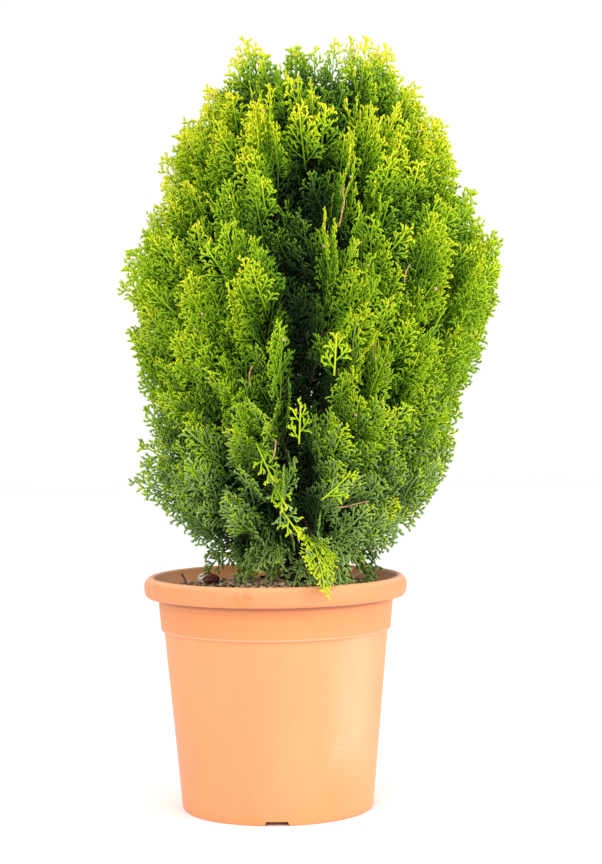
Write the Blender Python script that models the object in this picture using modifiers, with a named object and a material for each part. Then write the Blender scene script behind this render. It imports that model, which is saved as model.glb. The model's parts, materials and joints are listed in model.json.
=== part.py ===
"""A young golden thuja in a turned, terracotta-coloured nursery pot.

Frame: metres, +Z up, origin on the pot's axis at the surface that the pot stands on.
The plant's front faces -Y, and its crown leans a little to +X.
"""

import math
import random

import bmesh
import bpy
from mathutils import Vector

# ---------------------------------------------------------------- pot
POT_HEIGHT = 0.2125
WALL = 0.0022              # thickness of the moulded wall and floor
RIM_RADIUS = 0.1203        # widest point of the rolled rim
RIM_FACE = 0.0178          # height of the rim, crest to lower edge
RIM_ROLL = 0.0070          # how far the crest stands in from the widest point
RIM_TUCK = 0.0030          # how far the rim's lower edge stands in
RIM_UNDERCUT = 0.0030      # rise of the rim's underside towards the band
RIM_WIDEST = 0.48          # where the rim is widest, as a share of its face from the crest
RIM_LIP = 0.0040           # the rim's inner edge inside its crest
RIM_LIP_RISE = 0.0065      # and above the band's upper end
RIM_CREST_ROUND = 0.0022   # rounding on the inner side of the crest
RIM_STEPS = 6
RIM_OVERHANG = 0.0125      # how far the rim stands out from the band
BAND_TAPER = 0.0025        # how much narrower the band is at its lower edge
BAND_HEIGHT = 0.0335       # plain band under the rim
BAND_EDGE = 0.0015         # rounding of the band's lower edge
STEP_IN = 0.0031           # rounded step from the band to the body
STEP_DROP = 0.0034
STEP_ROUND = 0.0010
FOOT_RADIUS = 0.0874
FOOT_ROUND = 0.0016        # rounding of the bottom edge
FOOT_RING = 0.0060         # width of the ring that the pot stands on
FOOT_RAISE = 0.0042        # how high the floor is raised inside that ring
PAD_RADIUS = 0.0300        # middle of the floor, level with the ring
NOTCH_COUNT = 4
NOTCH_WIDTH = 0.0240       # at the standing surface
NOTCH_TOP_WIDTH = 0.0185
NOTCH_SHARE = 0.95         # height of the notches as a share of FOOT_RAISE
DRAIN_COUNT = 8
DRAIN_RADIUS = 0.0050
DRAIN_INSET = 0.0025       # between the drain holes and the foot ring's slope
DRAIN_STEPS = 14
CUT_MARGIN = 0.0030        # how far the cutting blocks stand out of what they cut
POT_STEPS = 56

# ---------------------------------------------------------------- soil
SOIL_BELOW_CREST = 0.0130
SOIL_MOUND = 0.0060        # rise of the soil towards the trunk
SOIL_RINGS = 8
SOIL_STEPS = 40
SOIL_GAP = 0.0006          # between the soil and the pot
SOCKET_STEPS = 24          # sides of the socket for the trunk
GAP = 0.0003               # between pieces that touch

# ---------------------------------------------------------------- wood
PLANT_OFFSET = 0.0150      # the trunk's place in the pot, to +X
LEAN = 0.0250              # further lean of the crown to +X
LEAN_SHARE = 0.50          # share of the plant's height in which it leans
LEAN_CURVE = 1.3
TRUNK_RADIUS = 0.0068
TRUNK_FLARE = 1.15         # the trunk's swelling in and just above the soil
FLARE_SHARE = 0.083        # share of the trunk's height in which the swelling ends
TRUNK_TAPER = 0.7
TRUNK_DEPTH = 0.0500       # how far the trunk goes down into the soil
LEADER_RADIUS = 0.0024     # the trunk's top end
FORK_RISE = 0.0220         # the fork above the soil
LIMB_COUNT = 6
LIMB_RADIUS = 0.0030
LIMB_TIP_RADIUS = 0.0016
LIMB_SPREAD = 0.0230       # how far the limbs stand from the trunk at their tops
LIMB_POINTS = 10

# ---------------------------------------------------------------- crown
CROWN_FOOT = 0.0220        # lowest fronds above the soil
CROWN_TOP = 0.6980         # highest frond tip above the ground
CROWN_RADIUS = 0.1740      # half of the crown's width at its widest
CROWN_DEPTH = 0.90         # the crown's depth as a share of its width
# outline of the crown: share of its height, share of its radius
CROWN_OUTLINE = ((0.0, 0.30), (0.12, 0.80), (0.28, 0.88), (0.44, 0.95), (0.56, 1.0),
                 (0.70, 0.86), (0.83, 0.68), (0.92, 0.52), (1.0, 0.28))
FACING = math.radians(26)  # how far the fronds turn their flat sides to front and back
FROND_THICKNESS = 0.0130
FROND_SKEW = 1.25          # puts a frond's widest place past its middle
FROND_AROUND = 8
FROND_ALONG = 9
FROND_EDGE = 0.6           # how soon a frond reaches its full thickness
SPINE_OUT = 0.72           # bend of a frond's spine: share of its run
SPINE_RISE = 0.36          # and share of its climb
TWIST_GAIN = 1.6           # how soon along its spine a frond is fully turned
FOOT_STAGGER = 0.0120      # every second frond of a tier starts this much higher
# tier: name, fronds, first bearing, foot and tip as shares of the crown's height, half of a
# frond's width as a share of the crown's size, reach as a share of the crown's outline
TIERS = (
    ("skirt", 10, -95, 0.02, 0.18, 0.092, 0.97),
    ("lower", 10, -102, 0.135, 0.42, 0.130, 0.95),
    ("middle", 10, -84, 0.30, 0.63, 0.134, 1.00),
    ("upper", 7, -116, 0.45, 0.84, 0.118, 1.00),
    ("top", 4, -161, 0.60, 0.985, 0.086, 1.10),
)
BEARING_JITTER = math.radians(2)
TIP_JITTER = 0.010
SEED = 12

# ---------------------------------------------------------------- fallen frond over the rim
DROOP_BEARING = math.radians(-70)
DROOP_FOOT_RISE = 0.0800   # its foot above the soil
DROOP_HALF_WIDTH = 0.0150
DROOP_THICKNESS = 0.0070
DROOP_OVERHANG = 0.0105    # its tip beyond the rim
DROOP_BELOW_CREST = 0.0050
DROOP_TWIST = math.radians(80)
DROOP_RISE = 0.35          # bend of its spine, as a share of its climb

# ---------------------------------------------------------------- litter
# name, share of the way to the wall, bearing, size, turn, seed of its unevenness
STONES = (
    ("white_stone", 0.83, 140, (0.0105, 0.0095, 0.0070), 0.3, 1),
    ("lava_stone", 0.57, 170, (0.0180, 0.0150, 0.0095), 0.9, 2),
    ("pink_stone", 0.46, -30, (0.0170, 0.0120, 0.0085), -0.2, 3),
)
STONE_UNEVEN = 0.08
# name, share of the way to the wall, bearing, size, turn, tilt
CHIPS = (
    ("bark_chip_1", 0.26, -126, (0.0200, 0.0110, 0.0030), 0.4, 0.18),
    ("bark_chip_2", 0.33, 149, (0.0170, 0.0100, 0.0028), -0.7, -0.15),
    ("bark_chip_3", 0.43, -82, (0.0150, 0.0090, 0.0026), 1.2, 0.10),
)
CHIP_SPREAD = 0.25         # how much wider a chip is on one side
CHIP_WORN = 0.30           # its worn edges, as a share of its thickness
CHIP_REACH = 0.62          # how far a chip reaches from its middle, as a share of its length
TWIG_RADIUS = 0.0009
TWIG_FOOT = (0.77, -169)   # share of the way to the wall, bearing
TWIG_TOP = (0.82, 175)
TWIG_BEND = 0.0015
TWIG_THINNING = 0.35
TWIG_POINTS = 6
GRASS_RADIUS = 0.0006
GRASS_PLACE = (0.82, 22)   # share of the way to the wall, bearing
GRASS_ARCH = 0.0085        # half of the span of the dry grass's arch
GRASS_SWEEP = 0.0030       # how far its second end stands back
GRASS_FALL = 0.25          # how much its second end sinks
GRASS_POINTS = 12

# ---------------------------------------------------------------- derived
BAND_TOP_RADIUS = RIM_RADIUS - RIM_OVERHANG
BAND_FOOT_RADIUS = BAND_TOP_RADIUS - BAND_TAPER
SOIL_LEVEL = POT_HEIGHT - SOIL_BELOW_CREST
BAND_TOP = POT_HEIGHT - RIM_FACE + RIM_UNDERCUT
BAND_FOOT = BAND_TOP - BAND_HEIGHT
BODY_TOP = BAND_FOOT - STEP_DROP
BODY_TOP_RADIUS = BAND_FOOT_RADIUS - STEP_IN
FORK_HEIGHT = SOIL_LEVEL + SOIL_MOUND + FORK_RISE
CROWN_BASE = SOIL_LEVEL + SOIL_MOUND + CROWN_FOOT
CROWN_HEIGHT = CROWN_TOP - CROWN_BASE
CROWN_SIZE = math.sqrt(CROWN_HEIGHT * CROWN_RADIUS)


def clear_scene():
    """Start from an empty scene."""
    for obj in list(bpy.data.objects):
        bpy.data.objects.remove(obj, do_unlink=True)


def new_collection(name):
    collection = bpy.data.collections.new(name)
    bpy.context.scene.collection.children.link(collection)
    return collection


def new_material(name, colour, roughness):
    """A plain non-metal material."""
    material = bpy.data.materials.new(name)
    material.use_nodes = True
    shader = material.node_tree.nodes["Principled BSDF"]
    shader.inputs["Base Color"].default_value = (*colour, 1.0)
    shader.inputs["Roughness"].default_value = roughness
    shader.inputs["Metallic"].default_value = 0.0
    return material


def mix(low, high, share):
    return low + (high - low) * share


def outline_at(points, share):
    """Smooth reading of an outline given as (place, value) pairs."""
    for (x0, y0), (x1, y1) in zip(points, points[1:]):
        if share <= x1:
            step = max(0.0, (share - x0) / (x1 - x0))
            return mix(y0, y1, step * step * (3 - 2 * step) * 0.4 + step * 0.6)
    return points[-1][1]


# ---------------------------------------------------------------- pot

def arc(centre_r, centre_z, radius, start, end, count):
    """Points of an arc in the (radius, height) plane, angles in degrees."""
    points = []
    for index in range(count + 1):
        angle = math.radians(mix(start, end, index / count))
        points.append((centre_r + radius * math.cos(angle), centre_z + radius * math.sin(angle)))
    return points


def ellipse_arc(centre_r, centre_z, radius_r, radius_z, start, end, count):
    points = []
    for index in range(count + 1):
        angle = math.radians(mix(start, end, index / count))
        points.append((centre_r + radius_r * math.cos(angle), centre_z + radius_z * math.sin(angle)))
    return points


def body_radius(height):
    """The tapered body's outer radius at a height."""
    return mix(FOOT_RADIUS, BODY_TOP_RADIUS, height / BODY_TOP)


def inner_radius(height):
    """The pot's inner radius at a height below the rim."""
    if height > BAND_FOOT:
        return mix(BAND_FOOT_RADIUS, BAND_TOP_RADIUS, (height - BAND_FOOT) / BAND_HEIGHT) - WALL
    if height > BODY_TOP:
        return mix(BODY_TOP_RADIUS, BAND_FOOT_RADIUS, (height - BODY_TOP) / STEP_DROP) - WALL
    return body_radius(height) - WALL


def pot_profile():
    """Inner floor, inner wall, rim, outer side and underside, from axis to axis."""
    floor = FOOT_RAISE + WALL
    channel_inner = PAD_RADIUS + FOOT_RAISE
    inside = [(0.0, WALL), (PAD_RADIUS, WALL), (channel_inner, floor),
              (inner_radius(floor), floor), (inner_radius(BODY_TOP), BODY_TOP),
              (inner_radius(BAND_FOOT), BAND_FOOT), (inner_radius(BAND_TOP), BAND_TOP)]
    crest_radius = RIM_RADIUS - RIM_ROLL
    widest = POT_HEIGHT - RIM_FACE * RIM_WIDEST
    rim_inner = [(crest_radius - RIM_LIP, BAND_TOP + RIM_LIP_RISE),
                 (crest_radius - RIM_CREST_ROUND, POT_HEIGHT - RIM_CREST_ROUND)]
    rim_outer = ellipse_arc(crest_radius, widest, RIM_ROLL, POT_HEIGHT - widest, 90, 0, RIM_STEPS)
    rim_low = POT_HEIGHT - RIM_FACE
    lower = ellipse_arc(RIM_RADIUS - RIM_TUCK, widest, RIM_TUCK, widest - rim_low, -22, -90,
                        RIM_STEPS // 2)
    band = [(BAND_TOP_RADIUS, BAND_TOP), (BAND_FOOT_RADIUS, BAND_FOOT + BAND_EDGE)]
    step = [(BAND_FOOT_RADIUS - STEP_ROUND, BAND_FOOT - STEP_ROUND),
            (BODY_TOP_RADIUS + STEP_ROUND, BODY_TOP + STEP_ROUND * 2), (BODY_TOP_RADIUS, BODY_TOP)]
    foot = arc(body_radius(FOOT_ROUND) - FOOT_ROUND, FOOT_ROUND, FOOT_ROUND, 0, -90, RIM_STEPS // 2)
    ring_inner = FOOT_RADIUS - FOOT_RING
    under = [(ring_inner, 0.0), (ring_inner - FOOT_RAISE * 0.5, FOOT_RAISE),
             (PAD_RADIUS + FOOT_RAISE * 0.5, FOOT_RAISE), (PAD_RADIUS, 0.0), (0.0, 0.0)]
    return inside + rim_inner + rim_outer + lower + band + step + foot + under


def turned(name, profile, steps, collection, material):
    """A closed solid turned about the Z axis from a profile in the XZ plane."""
    mesh = bpy.data.meshes.new(name)
    vertices = [(r, 0.0, z) for r, z in profile]
    edges = [(i, i + 1) for i in range(len(vertices) - 1)]
    mesh.from_pydata(vertices, edges, [])
    mesh.materials.append(material)
    obj = bpy.data.objects.new(name, mesh)
    collection.objects.link(obj)
    screw = obj.modifiers.new("turn", "SCREW")
    screw.axis = "Z"
    screw.angle = math.tau
    screw.steps = steps
    screw.render_steps = steps
    screw.use_merge_vertices = True
    screw.merge_threshold = 0.00001
    screw.use_smooth_shade = True
    return obj


def add_cut(obj, cutter):
    cut = obj.modifiers.new("cut", "BOOLEAN")
    cut.operation = "DIFFERENCE"
    cut.solver = "EXACT"
    cut.object = cutter


def new_cutter(name, mesh, cutters):
    cutter = bpy.data.objects.new(name, mesh)
    cutter.hide_render = True
    cutter.display_type = "WIRE"
    cutters.objects.link(cutter)
    return cutter


def drain_cutter(cutters):
    """A ring of round pins through the raised floor, next to the foot ring."""
    bm = bmesh.new()
    reach = FOOT_RADIUS - FOOT_RING - FOOT_RAISE - DRAIN_RADIUS - DRAIN_INSET
    for index in range(DRAIN_COUNT):
        angle = math.tau * (index + 0.5) / DRAIN_COUNT
        made = bmesh.ops.create_cone(bm, cap_ends=True, segments=DRAIN_STEPS, radius1=DRAIN_RADIUS,
                                     radius2=DRAIN_RADIUS, depth=(FOOT_RAISE + WALL) * 2)
        place = Vector((reach * math.cos(angle), reach * math.sin(angle), FOOT_RAISE))
        bmesh.ops.translate(bm, verts=made["verts"], vec=place)
    mesh = bpy.data.meshes.new("drain_cutter")
    bm.to_mesh(mesh)
    bm.free()
    return new_cutter("drain_cutter", mesh, cutters)


def notch_cutter(cutters):
    """Trapezoid blocks that open the foot ring at the front, back and sides."""
    bm = bmesh.new()
    length = FOOT_RING + FOOT_RAISE + CUT_MARGIN
    height = FOOT_RAISE * NOTCH_SHARE
    for index in range(NOTCH_COUNT):
        made = bmesh.ops.create_cube(bm, size=1.0)
        angle = math.tau * index / NOTCH_COUNT - math.pi / 2
        for vertex in made["verts"]:
            top = vertex.co.z > 0
            width = NOTCH_TOP_WIDTH if top else mix(NOTCH_TOP_WIDTH, NOTCH_WIDTH,
                                                  1 + CUT_MARGIN / height)
            along = FOOT_RADIUS - FOOT_RING / 2 + vertex.co.x * length
            across = vertex.co.y * width
            vertex.co = Vector((along * math.cos(angle) - across * math.sin(angle),
                                along * math.sin(angle) + across * math.cos(angle),
                                height if top else -CUT_MARGIN))
    mesh = bpy.data.meshes.new("notch_cutter")
    bm.to_mesh(mesh)
    bm.free()
    return new_cutter("notch_cutter", mesh, cutters)


def build_pot(parts, cutters, material):
    pot = turned("pot", pot_profile(), POT_STEPS, parts, material)
    add_cut(pot, drain_cutter(cutters))
    add_cut(pot, notch_cutter(cutters))
    return pot


# ---------------------------------------------------------------- soil

def soil_top(radius):
    """Height of the soil at a distance from the pot's axis."""
    share = min(1.0, radius / inner_radius(SOIL_LEVEL))
    return SOIL_LEVEL + SOIL_MOUND * (1 - share * share) ** 2


def soil_profile():
    """Mounded top from the axis to the wall, down the wall and over the pot's floor."""
    edge = inner_radius(SOIL_LEVEL) - SOIL_GAP
    floor = FOOT_RAISE + WALL + SOIL_GAP
    top = [(edge * i / SOIL_RINGS, soil_top(edge * i / SOIL_RINGS)) for i in range(SOIL_RINGS + 1)]
    side = [(inner_radius(BAND_FOOT) - SOIL_GAP, BAND_FOOT),
            (inner_radius(BODY_TOP) - SOIL_GAP, BODY_TOP),
            (inner_radius(floor) - SOIL_GAP, floor)]
    base = [(PAD_RADIUS + FOOT_RAISE - SOIL_GAP * 0.5, floor),
            (PAD_RADIUS - SOIL_GAP * 0.5, WALL + SOIL_GAP), (0.0, WALL + SOIL_GAP)]
    return top + side + base


def build_soil(parts, cutters, material):
    """The soil, with a socket for the trunk's buried foot."""
    soil = turned("soil", soil_profile(), SOIL_STEPS, parts, material)
    bm = bmesh.new()
    radius = TRUNK_RADIUS * TRUNK_FLARE + GAP
    bottom = SOIL_LEVEL - TRUNK_DEPTH - GAP
    top = SOIL_LEVEL + SOIL_MOUND * 3
    bmesh.ops.create_cone(bm, cap_ends=True, segments=SOCKET_STEPS, radius1=radius, radius2=radius,
                          depth=top - bottom)
    bmesh.ops.translate(bm, verts=bm.verts[:], vec=(PLANT_OFFSET, 0.0, (top + bottom) / 2))
    mesh = bpy.data.meshes.new("trunk_socket_cutter")
    bm.to_mesh(mesh)
    bm.free()
    add_cut(soil, new_cutter("trunk_socket_cutter", mesh, cutters))
    return soil


# ---------------------------------------------------------------- wood

def crown_height(share):
    return CROWN_BASE + CROWN_HEIGHT * share


def axis_at(height):
    """The plant's axis, which leans to +X above the fork."""
    rise = max(0.0, (height - FORK_HEIGHT) / (CROWN_TOP - FORK_HEIGHT))
    return Vector((PLANT_OFFSET + LEAN * min(1.0, rise / LEAN_SHARE) ** LEAN_CURVE, 0.0, height))


def tube(name, points, radii, collection, material):
    """A closed round tube through points, with a radius at each one."""
    curve = bpy.data.curves.new(name, "CURVE")
    curve.dimensions = "3D"
    curve.bevel_depth = 1.0
    curve.bevel_resolution = 2
    curve.use_fill_caps = True
    curve.resolution_u = 1
    spline = curve.splines.new("POLY")
    spline.points.add(len(points) - 1)
    for point, place, radius in zip(spline.points, points, radii):
        point.co = (*place, 1.0)
        point.radius = radius
    spline.use_smooth = True
    curve.materials.append(material)
    obj = bpy.data.objects.new(name, curve)
    collection.objects.link(obj)
    return obj


def trunk_radius(height):
    """Flared in the soil, then tapering evenly to the leader's end."""
    start = SOIL_LEVEL + SOIL_MOUND
    if height <= start:
        return TRUNK_RADIUS * TRUNK_FLARE
    share = (height - start) / (limb_top() - start)
    flare = (TRUNK_FLARE - 1) * max(0.0, 1 - share / FLARE_SHARE)
    return mix(TRUNK_RADIUS * (1 + flare), LEADER_RADIUS, min(1.0, share) ** TRUNK_TAPER)


def limb_top():
    return crown_height(TIERS[-1][3])


def build_trunk(parts, plant, material):
    """The trunk stands straight in the soil and runs on as the leader between the limbs."""
    start = SOIL_LEVEL + SOIL_MOUND
    heights = [SOIL_LEVEL - TRUNK_DEPTH, start - SOIL_MOUND, start]
    heights += [mix(start, limb_top(), (i / LIMB_POINTS) ** 1.2) for i in range(1, LIMB_POINTS + 1)]
    points = [axis_at(height) for height in heights]
    trunk = tube("trunk", points, [trunk_radius(height) for height in heights], parts, material)
    trunk.parent = plant
    return trunk


def limb_bearing(index):
    return math.tau * (index + 0.5) / LIMB_COUNT


def limb_radius(height):
    share = (height - FORK_HEIGHT) / (limb_top() - FORK_HEIGHT)
    return mix(LIMB_RADIUS, LIMB_TIP_RADIUS, min(1.0, max(0.0, share)))


def limb_place(index, height):
    """A point on a limb's centre line."""
    bearing = limb_bearing(index)
    foot = trunk_radius(FORK_HEIGHT) + LIMB_RADIUS + GAP * 4
    share = min(1.0, max(0.0, (height - FORK_HEIGHT) / (limb_top() - FORK_HEIGHT)))
    reach = mix(foot, LIMB_SPREAD, math.sin(share * math.pi / 2))
    return axis_at(height) + Vector((reach * math.cos(bearing), reach * math.sin(bearing), 0.0))


def build_limbs(parts, plant, material):
    for index in range(LIMB_COUNT):
        heights = [mix(FORK_HEIGHT, limb_top(), i / LIMB_POINTS) for i in range(LIMB_POINTS + 1)]
        points = [limb_place(index, height) for height in heights]
        radii = [limb_radius(height) for height in heights]
        limb = tube(f"limb_{index + 1}", points, radii, parts, material)
        limb.parent = plant


# ---------------------------------------------------------------- fronds

def bezier(start, middle, end, share):
    return (start * (1 - share) ** 2) + (middle * 2 * share * (1 - share)) + (end * share ** 2)


def bezier_slope(start, middle, end, share):
    return ((middle - start) * (1 - share) + (end - middle) * share).normalized()


def frond_mesh(name, middle, end, half_width, thickness, twist):
    """A ball drawn out along a spine from the origin into a thin, upright leaf shape.

    The spine lies in the XZ plane; the leaf turns by `twist` about it towards the tip.
    """
    bm = bmesh.new()
    bmesh.ops.create_uvsphere(bm, u_segments=FROND_AROUND, v_segments=FROND_ALONG, radius=1.0)
    start = Vector((0.0, 0.0, 0.0))
    for vertex in bm.verts:
        share = min(1.0, max(0.0, (vertex.co.z + 1) / 2))
        around = Vector((vertex.co.x, vertex.co.y))
        if around.length > 1e-6:
            around.normalize()
        swell = max(0.0, math.sin(math.pi * share ** FROND_SKEW))
        slope = bezier_slope(start, middle, end, share)
        flat = slope.cross(Vector((0.0, 1.0, 0.0)))
        turn = twist * min(1.0, share * TWIST_GAIN)
        side = flat * math.cos(turn) + flat.cross(slope) * math.sin(turn) * -1
        face = slope.cross(side)
        vertex.co = (bezier(start, middle, end, share)
                     + side * (around.x * half_width * swell)
                     + face * (around.y * thickness / 2 * swell ** FROND_EDGE))
    mesh = bpy.data.meshes.new(name)
    bm.to_mesh(mesh)
    bm.free()
    mesh.shade_smooth()
    return mesh


def nearest_limb(bearing):
    """The limb whose bearing is closest."""
    def away(index):
        return abs((limb_bearing(index) - bearing + math.pi) % math.tau - math.pi)
    return min(range(LIMB_COUNT), key=away)


def place_frond(name, bearing, foot_height, tip, sizes, parts, plant, material):
    """Set a frond's foot against its limb and its tip at a point of the crown's outline."""
    half_width, thickness, twist, rise_first = sizes
    stem = limb_place(nearest_limb(bearing), foot_height)
    heading = math.atan2(tip.y - stem.y, tip.x - stem.x)
    outward = Vector((math.cos(heading), math.sin(heading), 0.0))
    foot = stem + outward * (limb_radius(foot_height) + GAP)
    run = (tip - foot).dot(outward)
    climb = tip.z - foot.z
    middle = Vector((run * SPINE_OUT, 0.0, climb * rise_first))
    mesh = frond_mesh(name, middle, Vector((run, 0.0, climb)), half_width, thickness, twist)
    mesh.materials.append(material)
    frond = bpy.data.objects.new(name, mesh)
    frond.location = foot
    frond.rotation_euler = (0.0, 0.0, heading)
    frond.parent = plant
    parts.objects.link(frond)
    return frond


def build_tier(tier, parts, plant, material, dice):
    """One ring of upright fronds, each from the nearest limb out to the crown's outline."""
    name, count, first, foot_share, tip_share, half_share, reach = tier
    for index in range(count):
        bearing = math.radians(first) + math.tau * index / count + dice.uniform(-1, 1) * BEARING_JITTER
        foot_height = crown_height(foot_share) + (index % 2) * FOOT_STAGGER
        tip_height = crown_height(tip_share) + dice.uniform(-1, 1) * TIP_JITTER
        out = CROWN_RADIUS * reach * outline_at(CROWN_OUTLINE, (tip_height - CROWN_BASE) / CROWN_HEIGHT)
        tip = axis_at(tip_height) + Vector((out * math.cos(bearing),
                                            out * CROWN_DEPTH * math.sin(bearing), 0.0))
        twist = -FACING * math.sin(2 * bearing)
        sizes = (half_share * CROWN_SIZE, FROND_THICKNESS, twist, SPINE_RISE)
        place_frond(f"frond_{name}_{index + 1}", bearing, foot_height, tip, sizes, parts, plant,
                    material)


def build_fronds(parts, plant, materials):
    dice = random.Random(SEED)
    for tier in TIERS:
        build_tier(tier, parts, plant, materials[tier[0]], dice)


def build_drooping_frond(parts, plant, material):
    """The bright frond that bends out of the crown and hangs over the pot's front rim."""
    reach = RIM_RADIUS + DROOP_OVERHANG
    tip = Vector((reach * math.cos(DROOP_BEARING), reach * math.sin(DROOP_BEARING),
                  POT_HEIGHT - DROOP_BELOW_CREST))
    sizes = (DROOP_HALF_WIDTH, DROOP_THICKNESS, DROOP_TWIST, DROOP_RISE)
    place_frond("frond_drooping", DROOP_BEARING, SOIL_LEVEL + DROOP_FOOT_RISE, tip, sizes, parts,
                plant, material)


# ---------------------------------------------------------------- litter on the soil

def on_soil(share, bearing):
    """A place on the soil: share of the way to the wall, and bearing in degrees."""
    radius = share * inner_radius(SOIL_LEVEL)
    return radius * math.cos(math.radians(bearing)), radius * math.sin(math.radians(bearing))


def pebble(name, place, size, turn, seed, parts, material):
    """A rounded, slightly uneven stone lying on the soil."""
    dice = random.Random(seed)
    bm = bmesh.new()
    bmesh.ops.create_uvsphere(bm, u_segments=10, v_segments=7, radius=0.5)
    for vertex in bm.verts:
        uneven = 1 + dice.uniform(-STONE_UNEVEN, STONE_UNEVEN)
        vertex.co = Vector((vertex.co.x * size[0] * uneven, vertex.co.y * size[1] * uneven,
                            vertex.co.z * size[2]))
    mesh = bpy.data.meshes.new(name)
    bm.to_mesh(mesh)
    bm.free()
    mesh.shade_smooth()
    mesh.materials.append(material)
    stone = bpy.data.objects.new(name, mesh)
    inner_edge = max(0.0, math.hypot(*place) - max(size[:2]) / 2)
    stone.location = (place[0], place[1], soil_top(inner_edge) + GAP + size[2] / 2)
    stone.rotation_euler = (0.0, 0.0, turn)
    parts.objects.link(stone)


def bark_chip(name, place, size, turn, tilt, parts, material):
    """A flat flake of bark mulch."""
    bm = bmesh.new()
    bmesh.ops.create_cube(bm, size=1.0)
    for vertex in bm.verts:
        vertex.co = Vector((vertex.co.x * size[0] * (1 + CHIP_SPREAD * vertex.co.y),
                            vertex.co.y * size[1], vertex.co.z * size[2]))
    mesh = bpy.data.meshes.new(name)
    bm.to_mesh(mesh)
    bm.free()
    mesh.materials.append(material)
    chip = bpy.data.objects.new(name, mesh)
    bevel = chip.modifiers.new("worn edges", "BEVEL")
    bevel.width = size[2] * CHIP_WORN
    bevel.segments = 1
    inner_edge = max(0.0, math.hypot(*place) - max(size[:2]) * CHIP_REACH)
    lift = size[2] / 2 + abs(math.sin(tilt)) * size[1] / 2
    chip.location = (place[0], place[1], soil_top(inner_edge) + GAP + lift)
    chip.rotation_euler = (tilt, 0.0, turn)
    parts.objects.link(chip)


def build_litter(parts, materials):
    """Stones, bark chips, a twig and a curl of dry grass on top of the soil."""
    for name, share, bearing, size, turn, seed in STONES:
        pebble(name, on_soil(share, bearing), size, turn, seed, parts, materials[name])
    for name, share, bearing, size, turn, tilt in CHIPS:
        bark_chip(name, on_soil(share, bearing), size, turn, tilt, parts, materials["bark_chip"])
    build_twig(parts, materials["twig"])
    build_grass(parts, materials["dry_grass"])


def build_twig(parts, material):
    """A dark dead twig that leans up against the pot's inner wall."""
    foot = Vector((*on_soil(*TWIG_FOOT), 0.0))
    foot.z = soil_top(foot.length - TWIG_RADIUS) + GAP + TWIG_RADIUS * 1.5
    top = Vector((*on_soil(*TWIG_TOP), POT_HEIGHT + TWIG_RADIUS))
    points = []
    radii = []
    for index in range(TWIG_POINTS + 1):
        share = index / TWIG_POINTS
        bend = TWIG_BEND * math.sin(share * math.pi)
        points.append(foot.lerp(top, share) + Vector((bend, 0.0, -bend)))
        radii.append(TWIG_RADIUS * (1 - TWIG_THINNING * share))
    tube("dead_twig", points, radii, parts, material)


def build_grass(parts, material):
    """A curl of dry grass that arches over the soil on the right."""
    centre = Vector((*on_soil(*GRASS_PLACE), 0.0))
    centre.z = soil_top(centre.length - GRASS_ARCH) + GAP + GRASS_RADIUS * 2
    points = []
    for index in range(GRASS_POINTS + 1):
        share = index / GRASS_POINTS
        angle = math.pi * (1 - share)
        rise = GRASS_ARCH * math.sin(angle) * (1 - GRASS_FALL * share)
        points.append(centre + Vector((GRASS_ARCH * math.cos(angle), GRASS_SWEEP * share, rise)))
    tube("dry_grass", points, [GRASS_RADIUS] * len(points), parts, material)


# ---------------------------------------------------------------- whole

def build_materials():
    return {
        "pot": new_material("terracotta_plastic", (0.80, 0.37, 0.16), 0.5),
        "soil": new_material("soil", (0.06, 0.035, 0.022), 0.95),
        "wood": new_material("bark", (0.13, 0.065, 0.035), 0.9),
        "skirt": new_material("foliage_dark", (0.035, 0.10, 0.018), 0.6),
        "lower": new_material("foliage_shade", (0.06, 0.17, 0.015), 0.6),
        "middle": new_material("foliage_green", (0.13, 0.30, 0.012), 0.6),
        "upper": new_material("foliage_bright", (0.22, 0.42, 0.012), 0.6),
        "top": new_material("foliage_golden", (0.35, 0.50, 0.012), 0.6),
        "white_stone": new_material("white_stone", (0.80, 0.78, 0.74), 0.7),
        "lava_stone": new_material("lava_stone", (0.22, 0.07, 0.05), 0.9),
        "pink_stone": new_material("pink_stone", (0.48, 0.33, 0.28), 0.75),
        "bark_chip": new_material("bark_chip", (0.40, 0.24, 0.13), 0.9),
        "twig": new_material("dead_twig", (0.06, 0.04, 0.03), 0.9),
        "dry_grass": new_material("dry_grass", (0.60, 0.45, 0.25), 0.8),
    }


def main():
    clear_scene()
    parts = new_collection("potted_thuja")
    cutters = new_collection("cutters")
    materials = build_materials()
    plant = bpy.data.objects.new("plant", None)
    parts.objects.link(plant)
    build_pot(parts, cutters, materials["pot"])
    build_soil(parts, cutters, materials["soil"])
    build_trunk(parts, plant, materials["wood"])
    build_limbs(parts, plant, materials["wood"])
    build_fronds(parts, plant, materials)
    build_drooping_frond(parts, plant, materials["top"])
    build_litter(parts, materials)


main()
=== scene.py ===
"""Looks of the potted thuja: foliage, bark, pot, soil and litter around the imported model."""

import json
import math

import bmesh
import bpy
import numpy as np
from mathutils import Matrix, Vector, noise


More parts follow.
